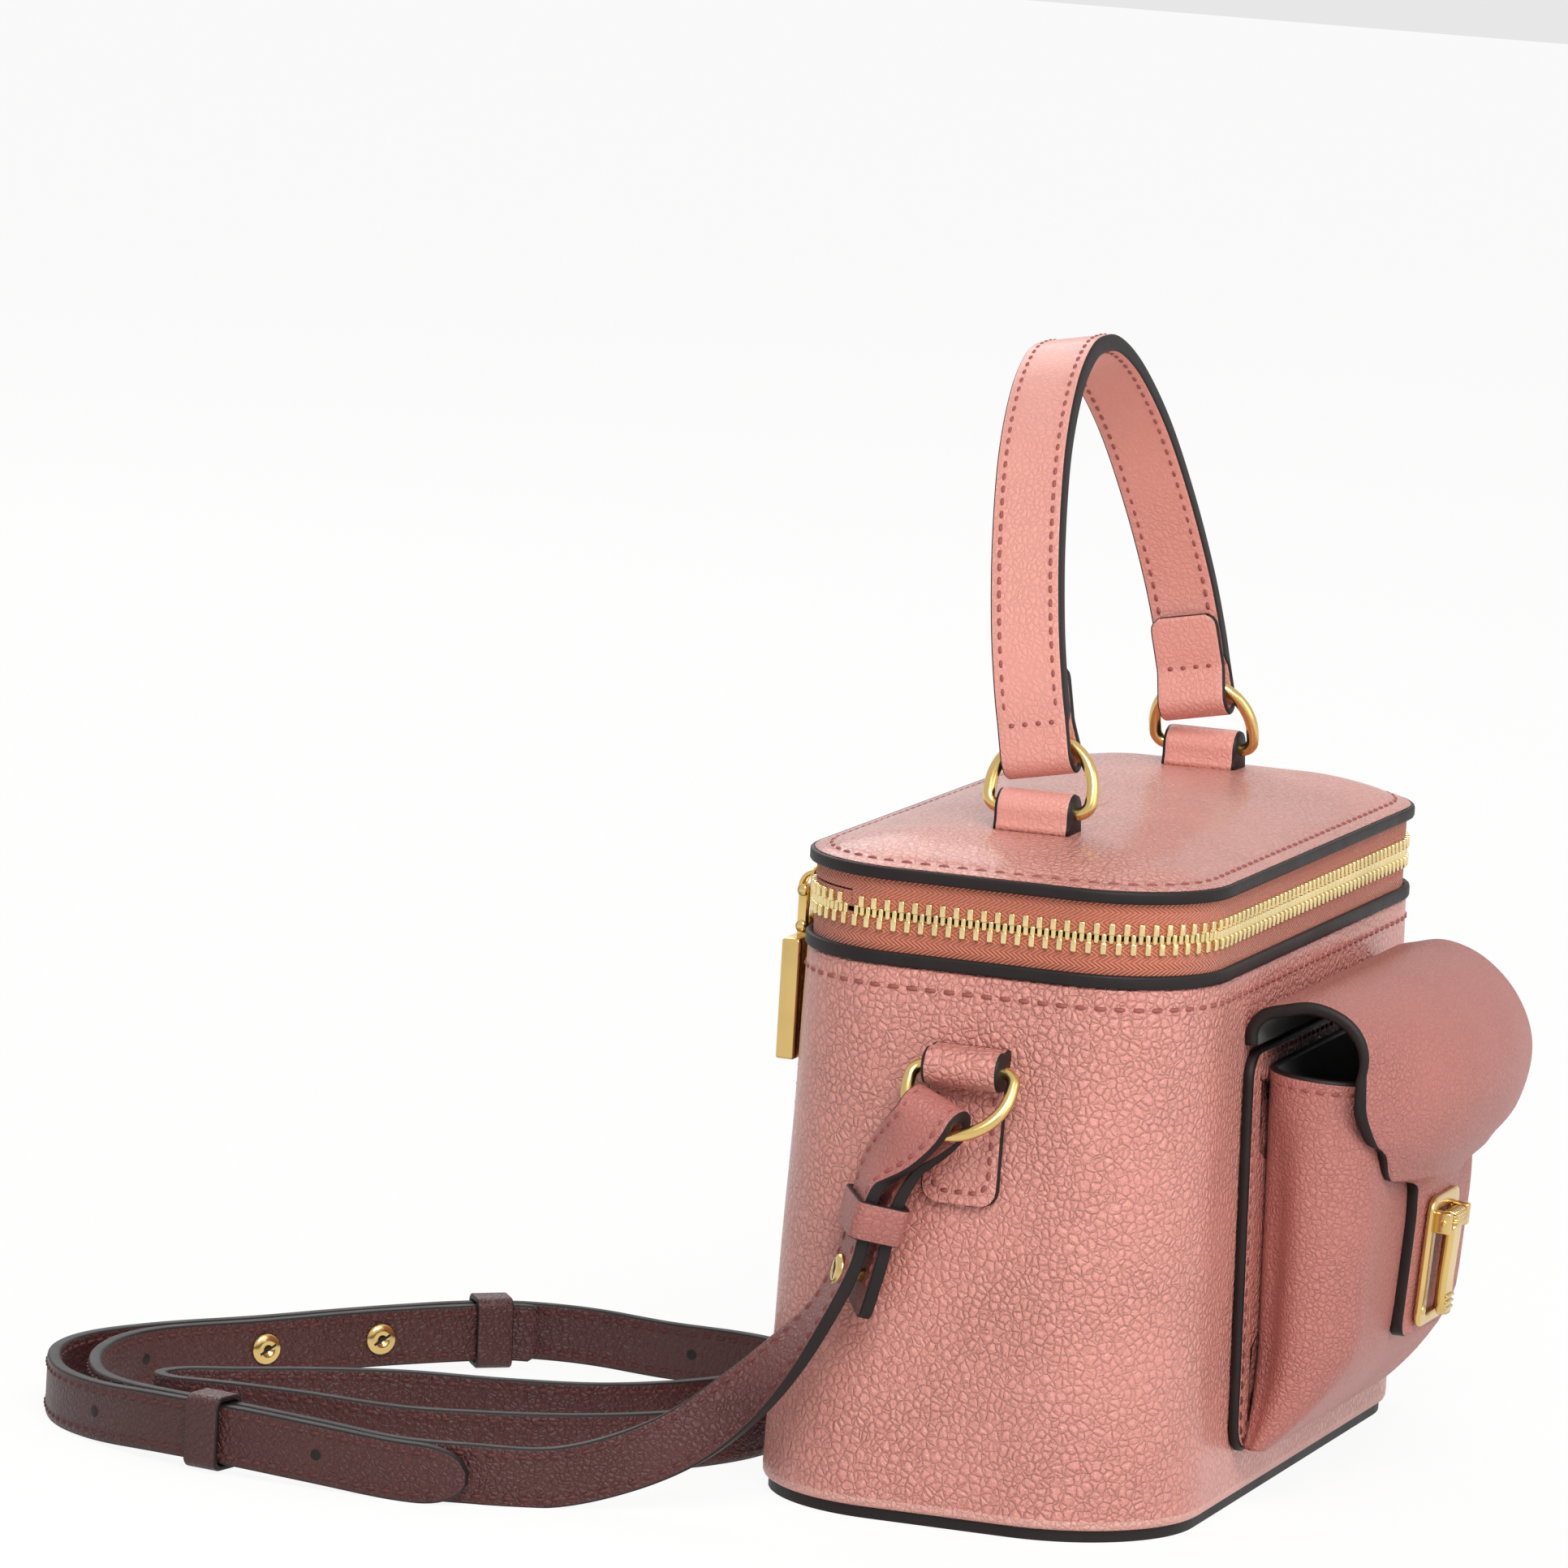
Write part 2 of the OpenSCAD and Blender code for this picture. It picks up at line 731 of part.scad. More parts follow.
// Side tabs carry the rings of the shoulder strap
side_bar_z = 88;                                   // height of a side ring's bar
side_tab_z = 62;                                   // lower edge of a tab
side_tab_w = 15.4;
side_tab_t = 1.6;
side_gap = 0.1;                                    // stitching lies between tab and wall
side_ring_tilt = 33;                               // outward tilt of a side ring at rest

module side_tab(side) {
    color(blush)
        on_end(side, side_bar_z)
            translate([side_gap, 0, 0]) {
                translate([loop_d / 2, 0, 0])
                    rotate([0, 90, 0])
                        leather_loop(side_tab_w, loop_d / 2);
                translate([0, -side_tab_w / 2 + 2, side_tab_z - side_bar_z])
                    cube([side_tab_t, side_tab_w - 4, side_bar_z - side_tab_z]);
                translate([0, -side_tab_w / 2, side_tab_z - side_bar_z + 2])
                    cube([side_tab_t, side_tab_w, side_bar_z - side_tab_z - 2]);
                for (s = [-1, 1])
                    translate([0, s * (side_tab_w / 2 - 2), side_tab_z - side_bar_z + 2])
                        rotate([0, 90, 0])
                            cylinder(r = 2, h = side_tab_t);
            }
}

module side_tab_left() {
    side_tab(-1);
}

module side_tab_right() {
    side_tab(1);
}

module side_ring(side) {
    color(gold)
        on_end(side, side_bar_z)
            translate([side_gap + loop_d / 2, 0, 0])
                rotate([0, 180 - side_ring_tilt, 0])
                    d_ring();
}

module side_ring_left() {
    side_ring(-1);
}

module side_ring_right() {
    side_ring(1);
}

// Pocket on the front wall; y = 0 is the wall and h runs up from the plate's lower edge
plate_h = plate_top - plate_z;
plate_r = 6;
plate_gap_wall = 0.1;                              // stitching lies between plate and wall
plate_face = -plate_gap_wall - plate_t;            // front face of the plate
pocket_w = plate_w - 5;
pocket_h = 75;                                     // mouth of the pocket
pocket_r = 9;                                      // rounding of the pocket's upright edges
pocket_round = 24;                                 // the pocket closes in below this height

module pocket_back_plate() {
    color(blush)
        on_front(plate_z)
            translate([0, plate_face, plate_h / 2])
                rotate([-90, 0, 0])
                    linear_extrude(plate_t)
                        round_rect(plate_w / 2, plate_h / 2, plate_r);
}

// Depth of the pocket at height h
function pocket_depth(h) = pocket_d * (1 - 0.8 * pow(1 - min(h / pocket_round, 1), 2));

// Outline of the pocket at height h, moved in by d
function pocket_ring(h, d) =
    let (half = pocket_depth(h) / 2, r = min(pocket_r, half - 0.2))
        [for (p = round_ring(pocket_w / 2 - d, half - d, max(r - d, 0.4), h))
            [p[0], p[1] + plate_face - half, p[2]]];

pocket_levels = [0.8, 3, 6, 10, 14, 19, pocket_round, 45, pocket_h];

module pocket_body() {
    color(blush)
        on_front(plate_z)
            difference() {
                loft([for (h = pocket_levels) pocket_ring(h, 0)]);
                loft([for (h = [4, 6, 10, 14, 19, pocket_round, 45, pocket_h + 1]) pocket_ring(h, pocket_t)]);
            }
}

// Flap: its side view runs from the root over the mouth and down over the pocket
tongue_h = tongue_z - plate_z;                     // lower edge of the tongue
tongue_y = plate_face - pocket_d - 0.9 - flap_t / 2;
root_y = -flap_t / 2 - plate_gap_wall;             // the root lies on the wall
root_h = plate_h + 1.3;
flap_hinge = [root_y - 6.4, root_h + 7.2];         // the leather bends along this line
bend_gap = 0.95;                                   // leaves room for the flap's edge when it is lifted
root_route = [[root_y, root_h], [root_y - 0.2, root_h + 3.4], [root_y - 2.4, root_h + 6], flap_hinge];
flap_route = [flap_hinge, [root_y - 12.4, root_h + 8], [root_y - 19.4, root_h + 5.4],
    [root_y - 25.8, root_h - 0.8], [root_y - 29.6, root_h - 9.8], [root_y - 29.2, root_h - 20],
    [tongue_y - 1.4, 54], [tongue_y - 0.1, 48.8], [tongue_y, 44], [tongue_y, 32], [tongue_y, tongue_h]];
root_curve = smooth_path(root_route, 4);
flap_curve = smooth_path(flap_route, 4);

// Band between two depths of a curve's thickness, measured from its middle
module curve_band(curve, d0, d1) {
    n = len(curve);
    normals = [for (i = [0:n - 1])
        let (t = unit(curve[min(i + 1, n - 1)] - curve[max(i - 1, 0)])) [t[1], -t[0]]];
    polygon(concat([for (i = [0:n - 1]) curve[i] - normals[i] * d0],
        [for (i = [n - 1:-1:0]) curve[i] - normals[i] * d1]));
}

// Root of the flap, sewn to the wall above the back plate; it stops short of the bend
module flap_root() {
    color(blush)
        on_front(plate_z)
            translate([-flap_w / 2, 0, 0])
                rotate([90, 0, 90])
                    linear_extrude(flap_w)
                        difference() {
                            curve_band(root_curve, -flap_t / 2, flap_t / 2);
                            translate(flap_hinge)
                                circle(flap_t / 2 + bend_gap);
                        }
}

shoulder_h = 46;                                   // the flap narrows to its tongue here
shoulder_r = 11;

// Front view of the flap
module flap_outline() {
    translate([-flap_w / 2, shoulder_h + shoulder_r])
        square([flap_w, plate_h]);
    translate([-flap_w / 2 + shoulder_r, shoulder_h])
        square([flap_w - 2 * shoulder_r, plate_h]);
    for (s = [-1, 1])
        translate([s * (flap_w / 2 - shoulder_r), shoulder_h + shoulder_r])
            circle(shoulder_r);
    translate([-tongue_w / 2, tongue_h + 3])
        square([tongue_w, plate_h / 2]);
    translate([-tongue_w / 2 + 3, tongue_h])
        square([tongue_w - 6, plate_h / 2]);
    for (s = [-1, 1])
        translate([s * (tongue_w / 2 - 3), tongue_h + 3])
            circle(3);
}

module flap_ply(d0, d1) {
    on_front(plate_z)
        intersection() {
            translate([-flap_w / 2, 0, 0])
                rotate([90, 0, 90])
                    linear_extrude(flap_w)
                        curve_band(flap_curve, d0, d1);
            translate([0, 1, 0])
                rotate([90, 0, 0])
                    linear_extrude(2 * pocket_d)
                        flap_outline();
        }
}

lining_ply = 0.8;                                  // thickness of the flap's inner ply

module flap_leather() {
    color(blush)
        flap_ply(-flap_t / 2, flap_t / 2 - lining_ply);
}

module flap_lining() {
    color(deep_blush)
        flap_ply(flap_t / 2 - lining_ply, flap_t / 2);
}

// Clasp: a framed plate with a lever on the tongue, a magnet catch on the pocket
clasp_h0 = tongue_h + 1.6;                         // lower edge of the plate
clasp_y = tongue_y - flap_t / 2 - 0.05;            // back of the plate
window_w = 10.4;
pin_h = clasp_h0 + clasp_h - 5;                    // height of the lever's pin
lever_w = 8;
lever_t = 2;
lever_y = clasp_y - clasp_t - 1.7;                 // pin of the lever
lever_pin_r = 0.7;

module clasp_catch() {
    color(gold)
        on_front(plate_z)
            translate([0, plate_face - pocket_d, clasp_h0 + clasp_h / 2])
                rotate([90, 0, 0])
                    cylinder(d = 12, h = 0.5);
}

module clasp_plate() {
    color(gold)
        on_front(plate_z) {
            translate([0, clasp_y, clasp_h0 + clasp_h / 2])
                rotate([90, 0, 0])
                    linear_extrude(clasp_t)
                        difference() {
                            round_rect(clasp_w / 2, clasp_h / 2, 1);
                            square([window_w, clasp_h - 5], center = true);
                        }
            // ears for the lever's pin
            for (s = [-1, 1])
                difference() {
                    translate([s * (window_w / 2 + 0.7) - 0.7, lever_y - 1.6, pin_h - 1.7])
                        cube([1.4, clasp_y - clasp_t - lever_y + 1.6, 3.4]);
                    translate([-clasp_w, lever_y, pin_h])
                        rotate([0, 90, 0])
                            cylinder(r = lever_pin_r, h = 2 * clasp_w);
                }
        }
}

module clasp_pin() {
    color(gold)
        on_front(plate_z)
            translate([-window_w / 2 - 1.4, lever_y, pin_h])
                rotate([0, 90, 0])
                    cylinder(r = lever_pin_r, h = window_w + 2.8);
}

module clasp_lever() {
    color(gold)
        on_front(plate_z)
            difference() {
                union() {
                    translate([-lever_w / 2, lever_y, pin_h])
                        rotate([0, 90, 0])
                            cylinder(r = 2, h = lever_w);
                    translate([-lever_w / 2 + 1, lever_y - lever_t / 2, clasp_h0 + 2])
                        cube([lever_w - 2, lever_t, pin_h - clasp_h0 - 2]);
                }
                translate([-clasp_w, lever_y, pin_h])
                    rotate([0, 90, 0])
                        cylinder(r = lever_pin_r + pin_play, h = 2 * clasp_w);
            }
}

// Shoulder strap in two pieces. Each row: a point on the middle line, then the width's direction
end_x = rim_l / 2;                                 // the rows at a ring count from the end of the rim
route_unit = rim_l / 168;                          // the rest of the route is drawn in 168ths of the rim
upright = [0, 0, 1];
stand_z = strap_w / 2;                             // the strap stands on its edge on the ground
ring_rows = [[-10, 16.5, 41, 0.64, 0.69, 0.34], [-10.7, 12.5, 51, 0.64, 0.69, 0.34],
    [-10.9, 8.4, 61, 0.64, 0.69, 0.34], [-10, 4.4, 69, 0.58, 0.75, 0.32],
    [-9.2, 1.2, 74.4, 0.2, 0.97, 0.1], [-9.1, 0, 78.2, 0, 1, 0], [-10.24, 0, 80.96, 0, 1, 0],
    [-13, 0, 82.1, 0, 1, 0], [-15.76, 0, 80.96, 0, 1, 0], [-16.9, 0, 78.2, 0, 1, 0],
    [-16.8, 1.8, 73.6, 0.2, 0.97, 0.1], [-14.7, 7.6, 67.2, 0.6, 0.73, 0.33],
    [-14.28, 11, 62.07, 0.64, 0.69, 0.34], [-14.08, 15.1, 52.07, 0.64, 0.69, 0.34],
    [-14.4, 22, 41, 0.6, 0.66, 0.44], [-16.4, 29, 31, 0.5, 0.6, 0.6],
    [-19.4, 37, 22, 0.3, 0.45, 0.84], [-23, 46, 14.5, 0.12, 0.2, 0.97], [-27, 57, 9, 0, 0.06, 1]];
front_pass = [[-115.6, 69], [-120.6, 82.6], [-122.9, 97], [-122.5, 112.4], [-121.1, 129.4],
    [-117, 145.6], [-109.4, 158.6], [-99.4, 168.4], [-87.4, 174.8], [-75, 177.8], [-63, 177.6],
    [-51.9, 173.2], [-35.6, 160.6], [-17.3, 143.2], [-2.8, 124.4], [1.4, 116.4]];
outer_pass = [[-125, 82], [-126, 96], [-125.6, 112], [-124.2, 130], [-120, 147.4], [-112, 163],
    [-102, 175], [-90, 182.4], [-78, 185.6], [-65, 184], [-50, 176], [-33.4, 163], [-15, 145.2],
    [-0.2, 126], [7.6, 109], [10.6, 92], [9.6, 74], [3.4, 61], [-8, 55.6], [-22, 58.6], [-40, 68],
    [-54, 82], [-61, 100], [-65, 118], [-73, 134], [-82, 147], [-87.4, 155.4], [-93.4, 158.4],
    [-99, 153], [-100.4, 142], [-99.4, 126], [-96.6, 108], [-92, 92], [-84, 76], [-71, 61.6],
    [-54, 52.4], [-36, 49.4], [-12, 49], [14, 49], [40, 49], [60, 51], [78, 55.6], [92, 60],
    [103, 59.6]];

// The keepers lift the standing strap a little off the ground
keeper_spots = [[-121.6, 135.5], [-1.5, 125.2]];
keeper_lift = 2;
function lift(p) = keeper_lift * max([for (k = keeper_spots) max(0, 1 - pow(norm(p - k) / 34, 2))]);
function on_ground(p) = [p[0] * route_unit, p[1] * route_unit, stand_z + lift(p), 0, 0, 1];
function at_ring(p) = [p[0] - end_x, p[1], p[2], p[3], p[4], p[5]];
function mirrored(p) = [-p[0], p[1], p[2], -p[3], p[4], p[5]];

ring_turn = [for (p = ring_rows) at_ring(p)];
far_floor = at_ring([-23, 53 * route_unit, 9.4, 0, 0.1, 1]);
long_route = concat(ring_turn, [for (p = front_pass) on_ground(p)]);
far_turn = [for (p = reversed(ring_turn)) if (p[2] > 12) mirrored(p)];
outer_route = concat([for (p = outer_pass) on_ground(p)], [mirrored(far_floor)], far_turn);
long_path = smooth_path(long_route, 3);
outer_path = smooth_path(outer_route, 3);
function spot(p) = [p[0], p[1], p[2]];
function lean(p) = [p[3], p[4], p[5]];

// Flat strap along a path, each point with its width's direction
module ribbon(path, w, t) {
    m = len(path);
    rings = [for (i = [0:m - 1])
        let (go = unit(spot(path[min(i + 1, m - 1)]) - spot(path[max(i - 1, 0)])),
            across = unit(lean(path[i]) - go * (lean(path[i]) * go)),
            side = cross(go, across), c = spot(path[i]))
            [c - across * w / 2 - side * t / 2, c + across * w / 2 - side * t / 2,
                c + across * w / 2 + side * t / 2, c - across * w / 2 + side * t / 2]];
    loft([for (r = rings) reversed(r)]);
}

module strap_inner() {
    color(deep_blush)
        ribbon(long_path, strap_w, strap_t);
}

module strap_outer() {
    color(deep_blush)
        ribbon(outer_path, strap_w, strap_t);
}

// Frame halfway between two plies: X along them, Y across their width, Z out of their faces
module on_plies(i, other, j) {
    p = (spot(long_path[i]) + spot(other[j])) / 2;
    x = unit(spot(long_path[i + 1]) - spot(long_path[i - 1]));
    y = unit(lean(long_path[i]) - x * (lean(long_path[i]) * x));
    z = cross(x, y);
    multmatrix([[x[0], y[0], z[0], p[0]], [x[1], y[1], z[1], p[1]], [x[2], y[2], z[2], p[2]], [0, 0, 0, 1]])
        children();
}

keeper_l = 7.4;                                    // length of a keeper along the strap
keeper_t = 1.2;
stud_r = 3.3;
stud_t = 1.1;
ply_step = 3.2;                                    // between the middles of two plies on the ground
fold_step = 4.5;                                   // between the middles of the plies of a fold

// Leather band round two plies whose middles are step apart
module keeper(step) {
    inner_w = strap_w + 2 * seat;
    inner_t = step + strap_t + 2 * seat;
    difference() {
        cube([keeper_l, inner_w + 2 * keeper_t, inner_t + 2 * keeper_t], center = true);
        cube([2 * keeper_l, inner_w, inner_t], center = true);
    }
}

// Screw stud through two plies, a head on each side
module stud(step) {
    reach = step + strap_t;
    cylinder(r = 1.4, h = reach + 0.6, center = true);
    for (s = [-1, 1])
        translate([0, 0, s * (reach / 2 + stud_t / 2 + 0.15)])
            cylinder(r = stud_r, h = stud_t, center = true);
}

module strap_keepers() {
    color(deep_blush) {
        on_plies(70, outer_path, 10)
            keeper(ply_step);
        on_plies(99, outer_path, 39)
            keeper(ply_step);
        for (right = [0, 1])
            mirror([right, 0, 0])
                on_plies(5, long_path, 37)
                    keeper(fold_step + 0.5);
    }
}

module strap_studs() {
    color(gold) {
        on_plies(93, outer_path, 33)
            stud(ply_step);
        on_plies(96, outer_path, 36)
            stud(ply_step);
        for (right = [0, 1])
            mirror([right, 0, 0])
                on_plies(2, long_path, 40)
                    stud(fold_step);
    }
}

base_panel();
wall_leather();
wall_board();
wall_lining();
floor_board();
floor_lining();
back_panel();
rim_binding();
zip_tape_lower();
zip_teeth_lower();
zip_end_left();
zip_end_right();
hinge_leather_lower();
zip_slider();
puller_link();
puller_bar();
lid_panel();
lid_board();
lid_lining();
lid_binding();
zip_tape_upper();
zip_teeth_upper();
hinge_leather_upper();
lid_loop_left();
lid_loop_right();
handle_ring_left();
handle_ring_right();
handle_strap();
handle_ends();
side_tab_left();
side_tab_right();
side_ring_left();
side_ring_right();
pocket_back_plate();
pocket_body();
clasp_catch();
flap_root();
flap_leather();
flap_lining();
clasp_plate();
clasp_lever();
clasp_pin();
strap_inner();
strap_outer();
strap_keepers();
strap_studs();
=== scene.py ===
import bmesh
import bpy
import numpy as np
from mathutils import Matrix, Vector


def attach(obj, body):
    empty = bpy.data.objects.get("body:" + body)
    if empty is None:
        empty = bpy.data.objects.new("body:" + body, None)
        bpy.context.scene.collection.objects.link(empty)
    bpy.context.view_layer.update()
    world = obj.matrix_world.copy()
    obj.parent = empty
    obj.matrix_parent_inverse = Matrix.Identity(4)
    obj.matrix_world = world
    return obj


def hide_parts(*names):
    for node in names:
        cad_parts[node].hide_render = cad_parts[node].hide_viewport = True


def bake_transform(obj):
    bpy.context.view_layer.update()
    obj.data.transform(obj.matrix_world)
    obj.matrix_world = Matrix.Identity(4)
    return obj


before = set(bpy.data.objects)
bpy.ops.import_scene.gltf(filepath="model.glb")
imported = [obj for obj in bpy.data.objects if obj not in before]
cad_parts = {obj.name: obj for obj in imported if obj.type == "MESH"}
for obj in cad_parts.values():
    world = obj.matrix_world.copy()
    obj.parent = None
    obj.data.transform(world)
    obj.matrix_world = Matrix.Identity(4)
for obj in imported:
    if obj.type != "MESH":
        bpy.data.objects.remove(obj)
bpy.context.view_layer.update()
print("frame loaded:", len(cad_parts), "nodes")

# Sizes are in millimetres, except in the finishes, which count in metres; meshes are written in metres.
caseShape = {
    "rimLength": 168, "rimDepth": 82.5, "rimRadius": 24,
    "baseLength": 182, "baseDepth": 87, "baseRadius": 29.5,
    "wallTop": 105.4, "rimTop": 108, "lidEdge": 121.6, "lidTop": 124,
    "chainHeight": 114.8, "hinge": (39.85, 112.3),
}
finishes = {
    # the flap's colour, on the flap and the pocket, is the body's leather darkened as painted shade of the front
    "bodyLeather": "#d38c80", "lidLeather": "#d18b7e", "flapLeather": "#b26e65", "handleLeather": "#dd988b",
    # the two strap colours are darker than the body's as painted shade, the second near the ground
    "strapLeather": "#b06a62", "strapShade": "#451a17", "edgePaint": "#1a1311", "thread": "#96504a", "brass": "#e3c27c",
    "toothBrass": "#f0dca4", "tape": "#d3775b", "lining": "#1c1817", "turnedEdge": "#dba297",
}

paintedShadeFade = (0.022, 0.068)  # the strap's painted shade near the ground fades out between these heights, in metres


def linearColor(code):
    # "#rrggbb" as linear light: the sRGB curve undone for each channel
    s = np.array([int(code[i:i + 2], 16) for i in (1, 3, 5)]) / 255
    return (*np.where(s <= 0.04045, s / 12.92, ((s + 0.055) / 1.055) ** 2.4).tolist(), 1.0)


class Socket:
    # Wraps a shader socket so that plain expressions add Math nodes.

    def __init__(self, tree, link):
        self.tree, self.link = tree, link

    def math(self, operation, *others, first=None):
        node = self.tree.nodes.new("ShaderNodeMath")
        node.operation = operation
        for slot, value in enumerate(([first] if first is not None else [self]) + list(others)):
            if isinstance(value, Socket):
                self.tree.links.new(value.link, node.inputs[slot])
            else:
                node.inputs[slot].default_value = value
        return Socket(self.tree, node.outputs[0])

    def __add__(self, other):
        return self.math("ADD", other)

    def __mul__(self, other):
        return self.math("MULTIPLY", other)

    def __sub__(self, other):
        return self.math("SUBTRACT", other)

    def __rsub__(self, other):
        return self.math("SUBTRACT", self, first=other)

    def __pow__(self, other):
        return self.math("POWER", other)

    __radd__ = __add__
    __rmul__ = __mul__

    def ramp(self, low, high):
        # 0 below low, 1 above high, straight between
        return ((self - low) * (1 / (high - low))).math("MINIMUM", 1.0).math("MAXIMUM", 0.0)


class Finish:
    # A material whose nodes are added one by one.

    def __init__(self, name):
        self.material = bpy.data.materials.new(name)
        self.material.use_nodes = True
        self.tree = self.material.node_tree
        self.shader = self.tree.nodes["Principled BSDF"]
        self.place = self.node("TexCoord", output="Object")

    def node(self, kind, settings=None, inputs=None, output=0):
        made = self.tree.nodes.new("ShaderNode" + kind)
        for key, value in (settings or {}).items():
            setattr(made, key, value)
        for key, value in (inputs or {}).items():
            if isinstance(value, Socket):
                self.tree.links.new(value.link, made.inputs[key])
            else:
                made.inputs[key].default_value = value
        return Socket(self.tree, made.outputs[output])

    def noise(self, scale, detail=2.0, vector=None):
        return self.node("TexNoise", inputs={"Vector": vector or self.place, "Scale": scale, "Detail": detail},
                         output="Fac")

    def cellEdges(self, vector, scale):
        # distance to the nearest edge of a Voronoi cell
        return self.node("TexVoronoi", {"feature": "DISTANCE_TO_EDGE"}, {"Vector": vector, "Scale": scale},
                         output="Distance")

    def axis(self, letter, vector=None):
        # one part of the place, or of another vector
        return self.node("SeparateXYZ", inputs={"Vector": vector or self.place}, output=letter)

    def mix(self, share, colorA, colorB):
        # colorA where share is 0, colorB where it is 1
        made = self.tree.nodes.new("ShaderNodeMix")
        made.data_type = "RGBA"
        for slot, value in ((0, share), (6, colorA), (7, colorB)):
            if isinstance(value, Socket):
                self.tree.links.new(value.link, made.inputs[slot])
            else:
                made.inputs[slot].default_value = value
        return Socket(self.tree, made.outputs[2])

    def bump(self, height, distance):
        return self.node("Bump", inputs={"Height": height, "Distance": distance, "Strength": 1.0}, output="Normal")

    def set(self, **values):
        # values for the shader's sockets, with _ for a space in a socket's name
        for key, value in values.items():
            key = key.replace("_", " ")
            if isinstance(value, Socket):
                self.tree.links.new(value.link, self.shader.inputs[key])
            else:
                self.shader.inputs[key].default_value = value
        return self.material


def dark(color, share):
    # the colour times share; above 1 it gets lighter
    return (*[c * share for c in color[:3]], 1.0)


def pebbledLeather(name, color, grain, depth, calm, gloss=0.4, coat=0.2, low=None):
    # rounded pebbles of a Voronoi pattern, grain millimetres apart, bent by noise, with soft valleys and fine
    # grain on top; calm is the depth of the pattern where it is faintest, as a share
    f = Finish(name)
    base = linearColor(color)
    cloud = f.node("TexNoise", inputs={"Vector": f.place, "Scale": 420.0, "Detail": 2.0}, output="Color")
    bend = f.node("VectorMath", {"operation": "SCALE"}, {0: cloud, "Scale": 0.0014}, output="Vector")
    bent = f.node("VectorMath", {"operation": "ADD"}, {0: f.place, 1: bend}, output="Vector")
    cells, small = f.cellEdges(bent, 1000 / grain), f.cellEdges(bent, 2300 / grain)
    zones, tone, fine = f.noise(24.0, 3.0), f.noise(9.0, 3.0), f.noise(2600.0, 2.0)
    strength = calm + (1 - calm) * zones.ramp(0.36, 0.62)
    pebble = cells.ramp(0.0, 0.38) ** 0.6
    grainlet = small.ramp(0.0, 0.3)
    height = (pebble * 0.8 + grainlet * 0.16 + fine * 0.06) * strength
    valley = (1 - pebble) * strength
    shade = f.mix(valley * 0.36, f.mix(tone.ramp(0.3, 0.7), dark(base, 0.94), dark(base, 1.05)), dark(base, 0.72))
    if low:  # painted shade: the strap is darker where it lies near the ground
        shadeBase = linearColor(low)
        shadeTone = f.mix(tone.ramp(0.3, 0.7), dark(shadeBase, 0.9), dark(shadeBase, 1.15))
        shade = f.mix(f.axis("Z").ramp(*paintedShadeFade), f.mix(valley * 0.3, shadeTone, dark(shadeBase, 0.65)), shade)
    return f.set(Base_Color=shade, Roughness=gloss + 0.14 * valley + 0.1 * fine,
                 Normal=f.bump(height, depth * 3.4), Coat_Weight=coat, Coat_Roughness=0.2)


def edgePaintFinish():
    # dark rubbery paint, a little uneven and worn
    f = Finish("EdgePaint")
    base = linearColor(finishes["edgePaint"])
    wear, fine = f.noise(180.0, 3.0), f.noise(1400.0, 2.0)
    return f.set(Base_Color=f.mix(wear.ramp(0.35, 0.75), dark(base, 0.8), dark(base, 1.25)),
                 Roughness=0.46 + 0.18 * wear, Specular_IOR_Level=0.3,
                 Normal=f.bump(fine * 0.5 + wear * 0.5, 0.00012))


def brassFinish(name="PolishedBrass", knurl=False, dull=0.0, color="brass"):
    # polished metal with smears and fine scratches
    f = Finish(name)
    base = linearColor(finishes[color])
    streaks = f.node("Mapping", inputs={"Vector": f.place, "Scale": (300.0, 2600.0, 900.0)})
    smear, scratch = f.noise(60.0, 4.0), f.noise(1.0, 3.0, streaks)
    height = scratch * 0.12 + smear * 0.1
    if knurl:  # two crossed sets of fine ridges
        x, z = f.axis("X"), f.axis("Z")
        first, second = ((x + z) * 5200.0).math("SINE"), ((x - z) * 5200.0).math("SINE")
        height = height + first * 0.5 + second * 0.5
    return f.set(Base_Color=f.mix(smear.ramp(0.35, 0.7), base, dark(base, 0.82)), Metallic=1.0,
                 Roughness=0.13 + dull + 0.12 * smear + 0.06 * scratch,
                 Normal=f.bump(height, 0.0002 if knurl else 0.00003))


def zipTapeFinish():
    # herringbone from the piece's own UV map, which is in millimetres
    f = Finish("ZipTape")
    base = linearColor(finishes["tape"])
    uv = f.node("UVMap", output="UV")
    along, across = f.axis("X", uv), f.axis("Y", uv)
    fold = ((across * 0.42).math("FRACT") - 0.5).math("ABSOLUTE") * 3.4
    rib = ((along * 0.95 + fold) * 6.2832).math("SINE") * 0.5 + 0.5
    fuzz = f.noise(1800.0, 3.0)
    return f.set(Base_Color=f.mix(rib * 0.75 + fuzz * 0.25, dark(base, 0.5), dark(base, 1.2)), Roughness=0.82,
                 Normal=f.bump(rib + fuzz * 0.3, 0.0003), Sheen_Weight=0.25)


def threadFinish():
    # waxed thread with a fine twist, with painted shade near the ground as on the strap
    f = Finish("Thread")
    base = linearColor(finishes["thread"])
    twist = f.noise(2400.0, 2.0)
    # low is the painted shade colour near the ground
    low, plain = dark(linearColor(finishes["strapShade"]), 1.3), f.mix(twist, dark(base, 0.7), dark(base, 1.15))
    return f.set(Base_Color=f.mix(f.axis("Z").ramp(*paintedShadeFade), low, plain), Roughness=0.62,
                 Normal=f.bump(twist, 0.0001))


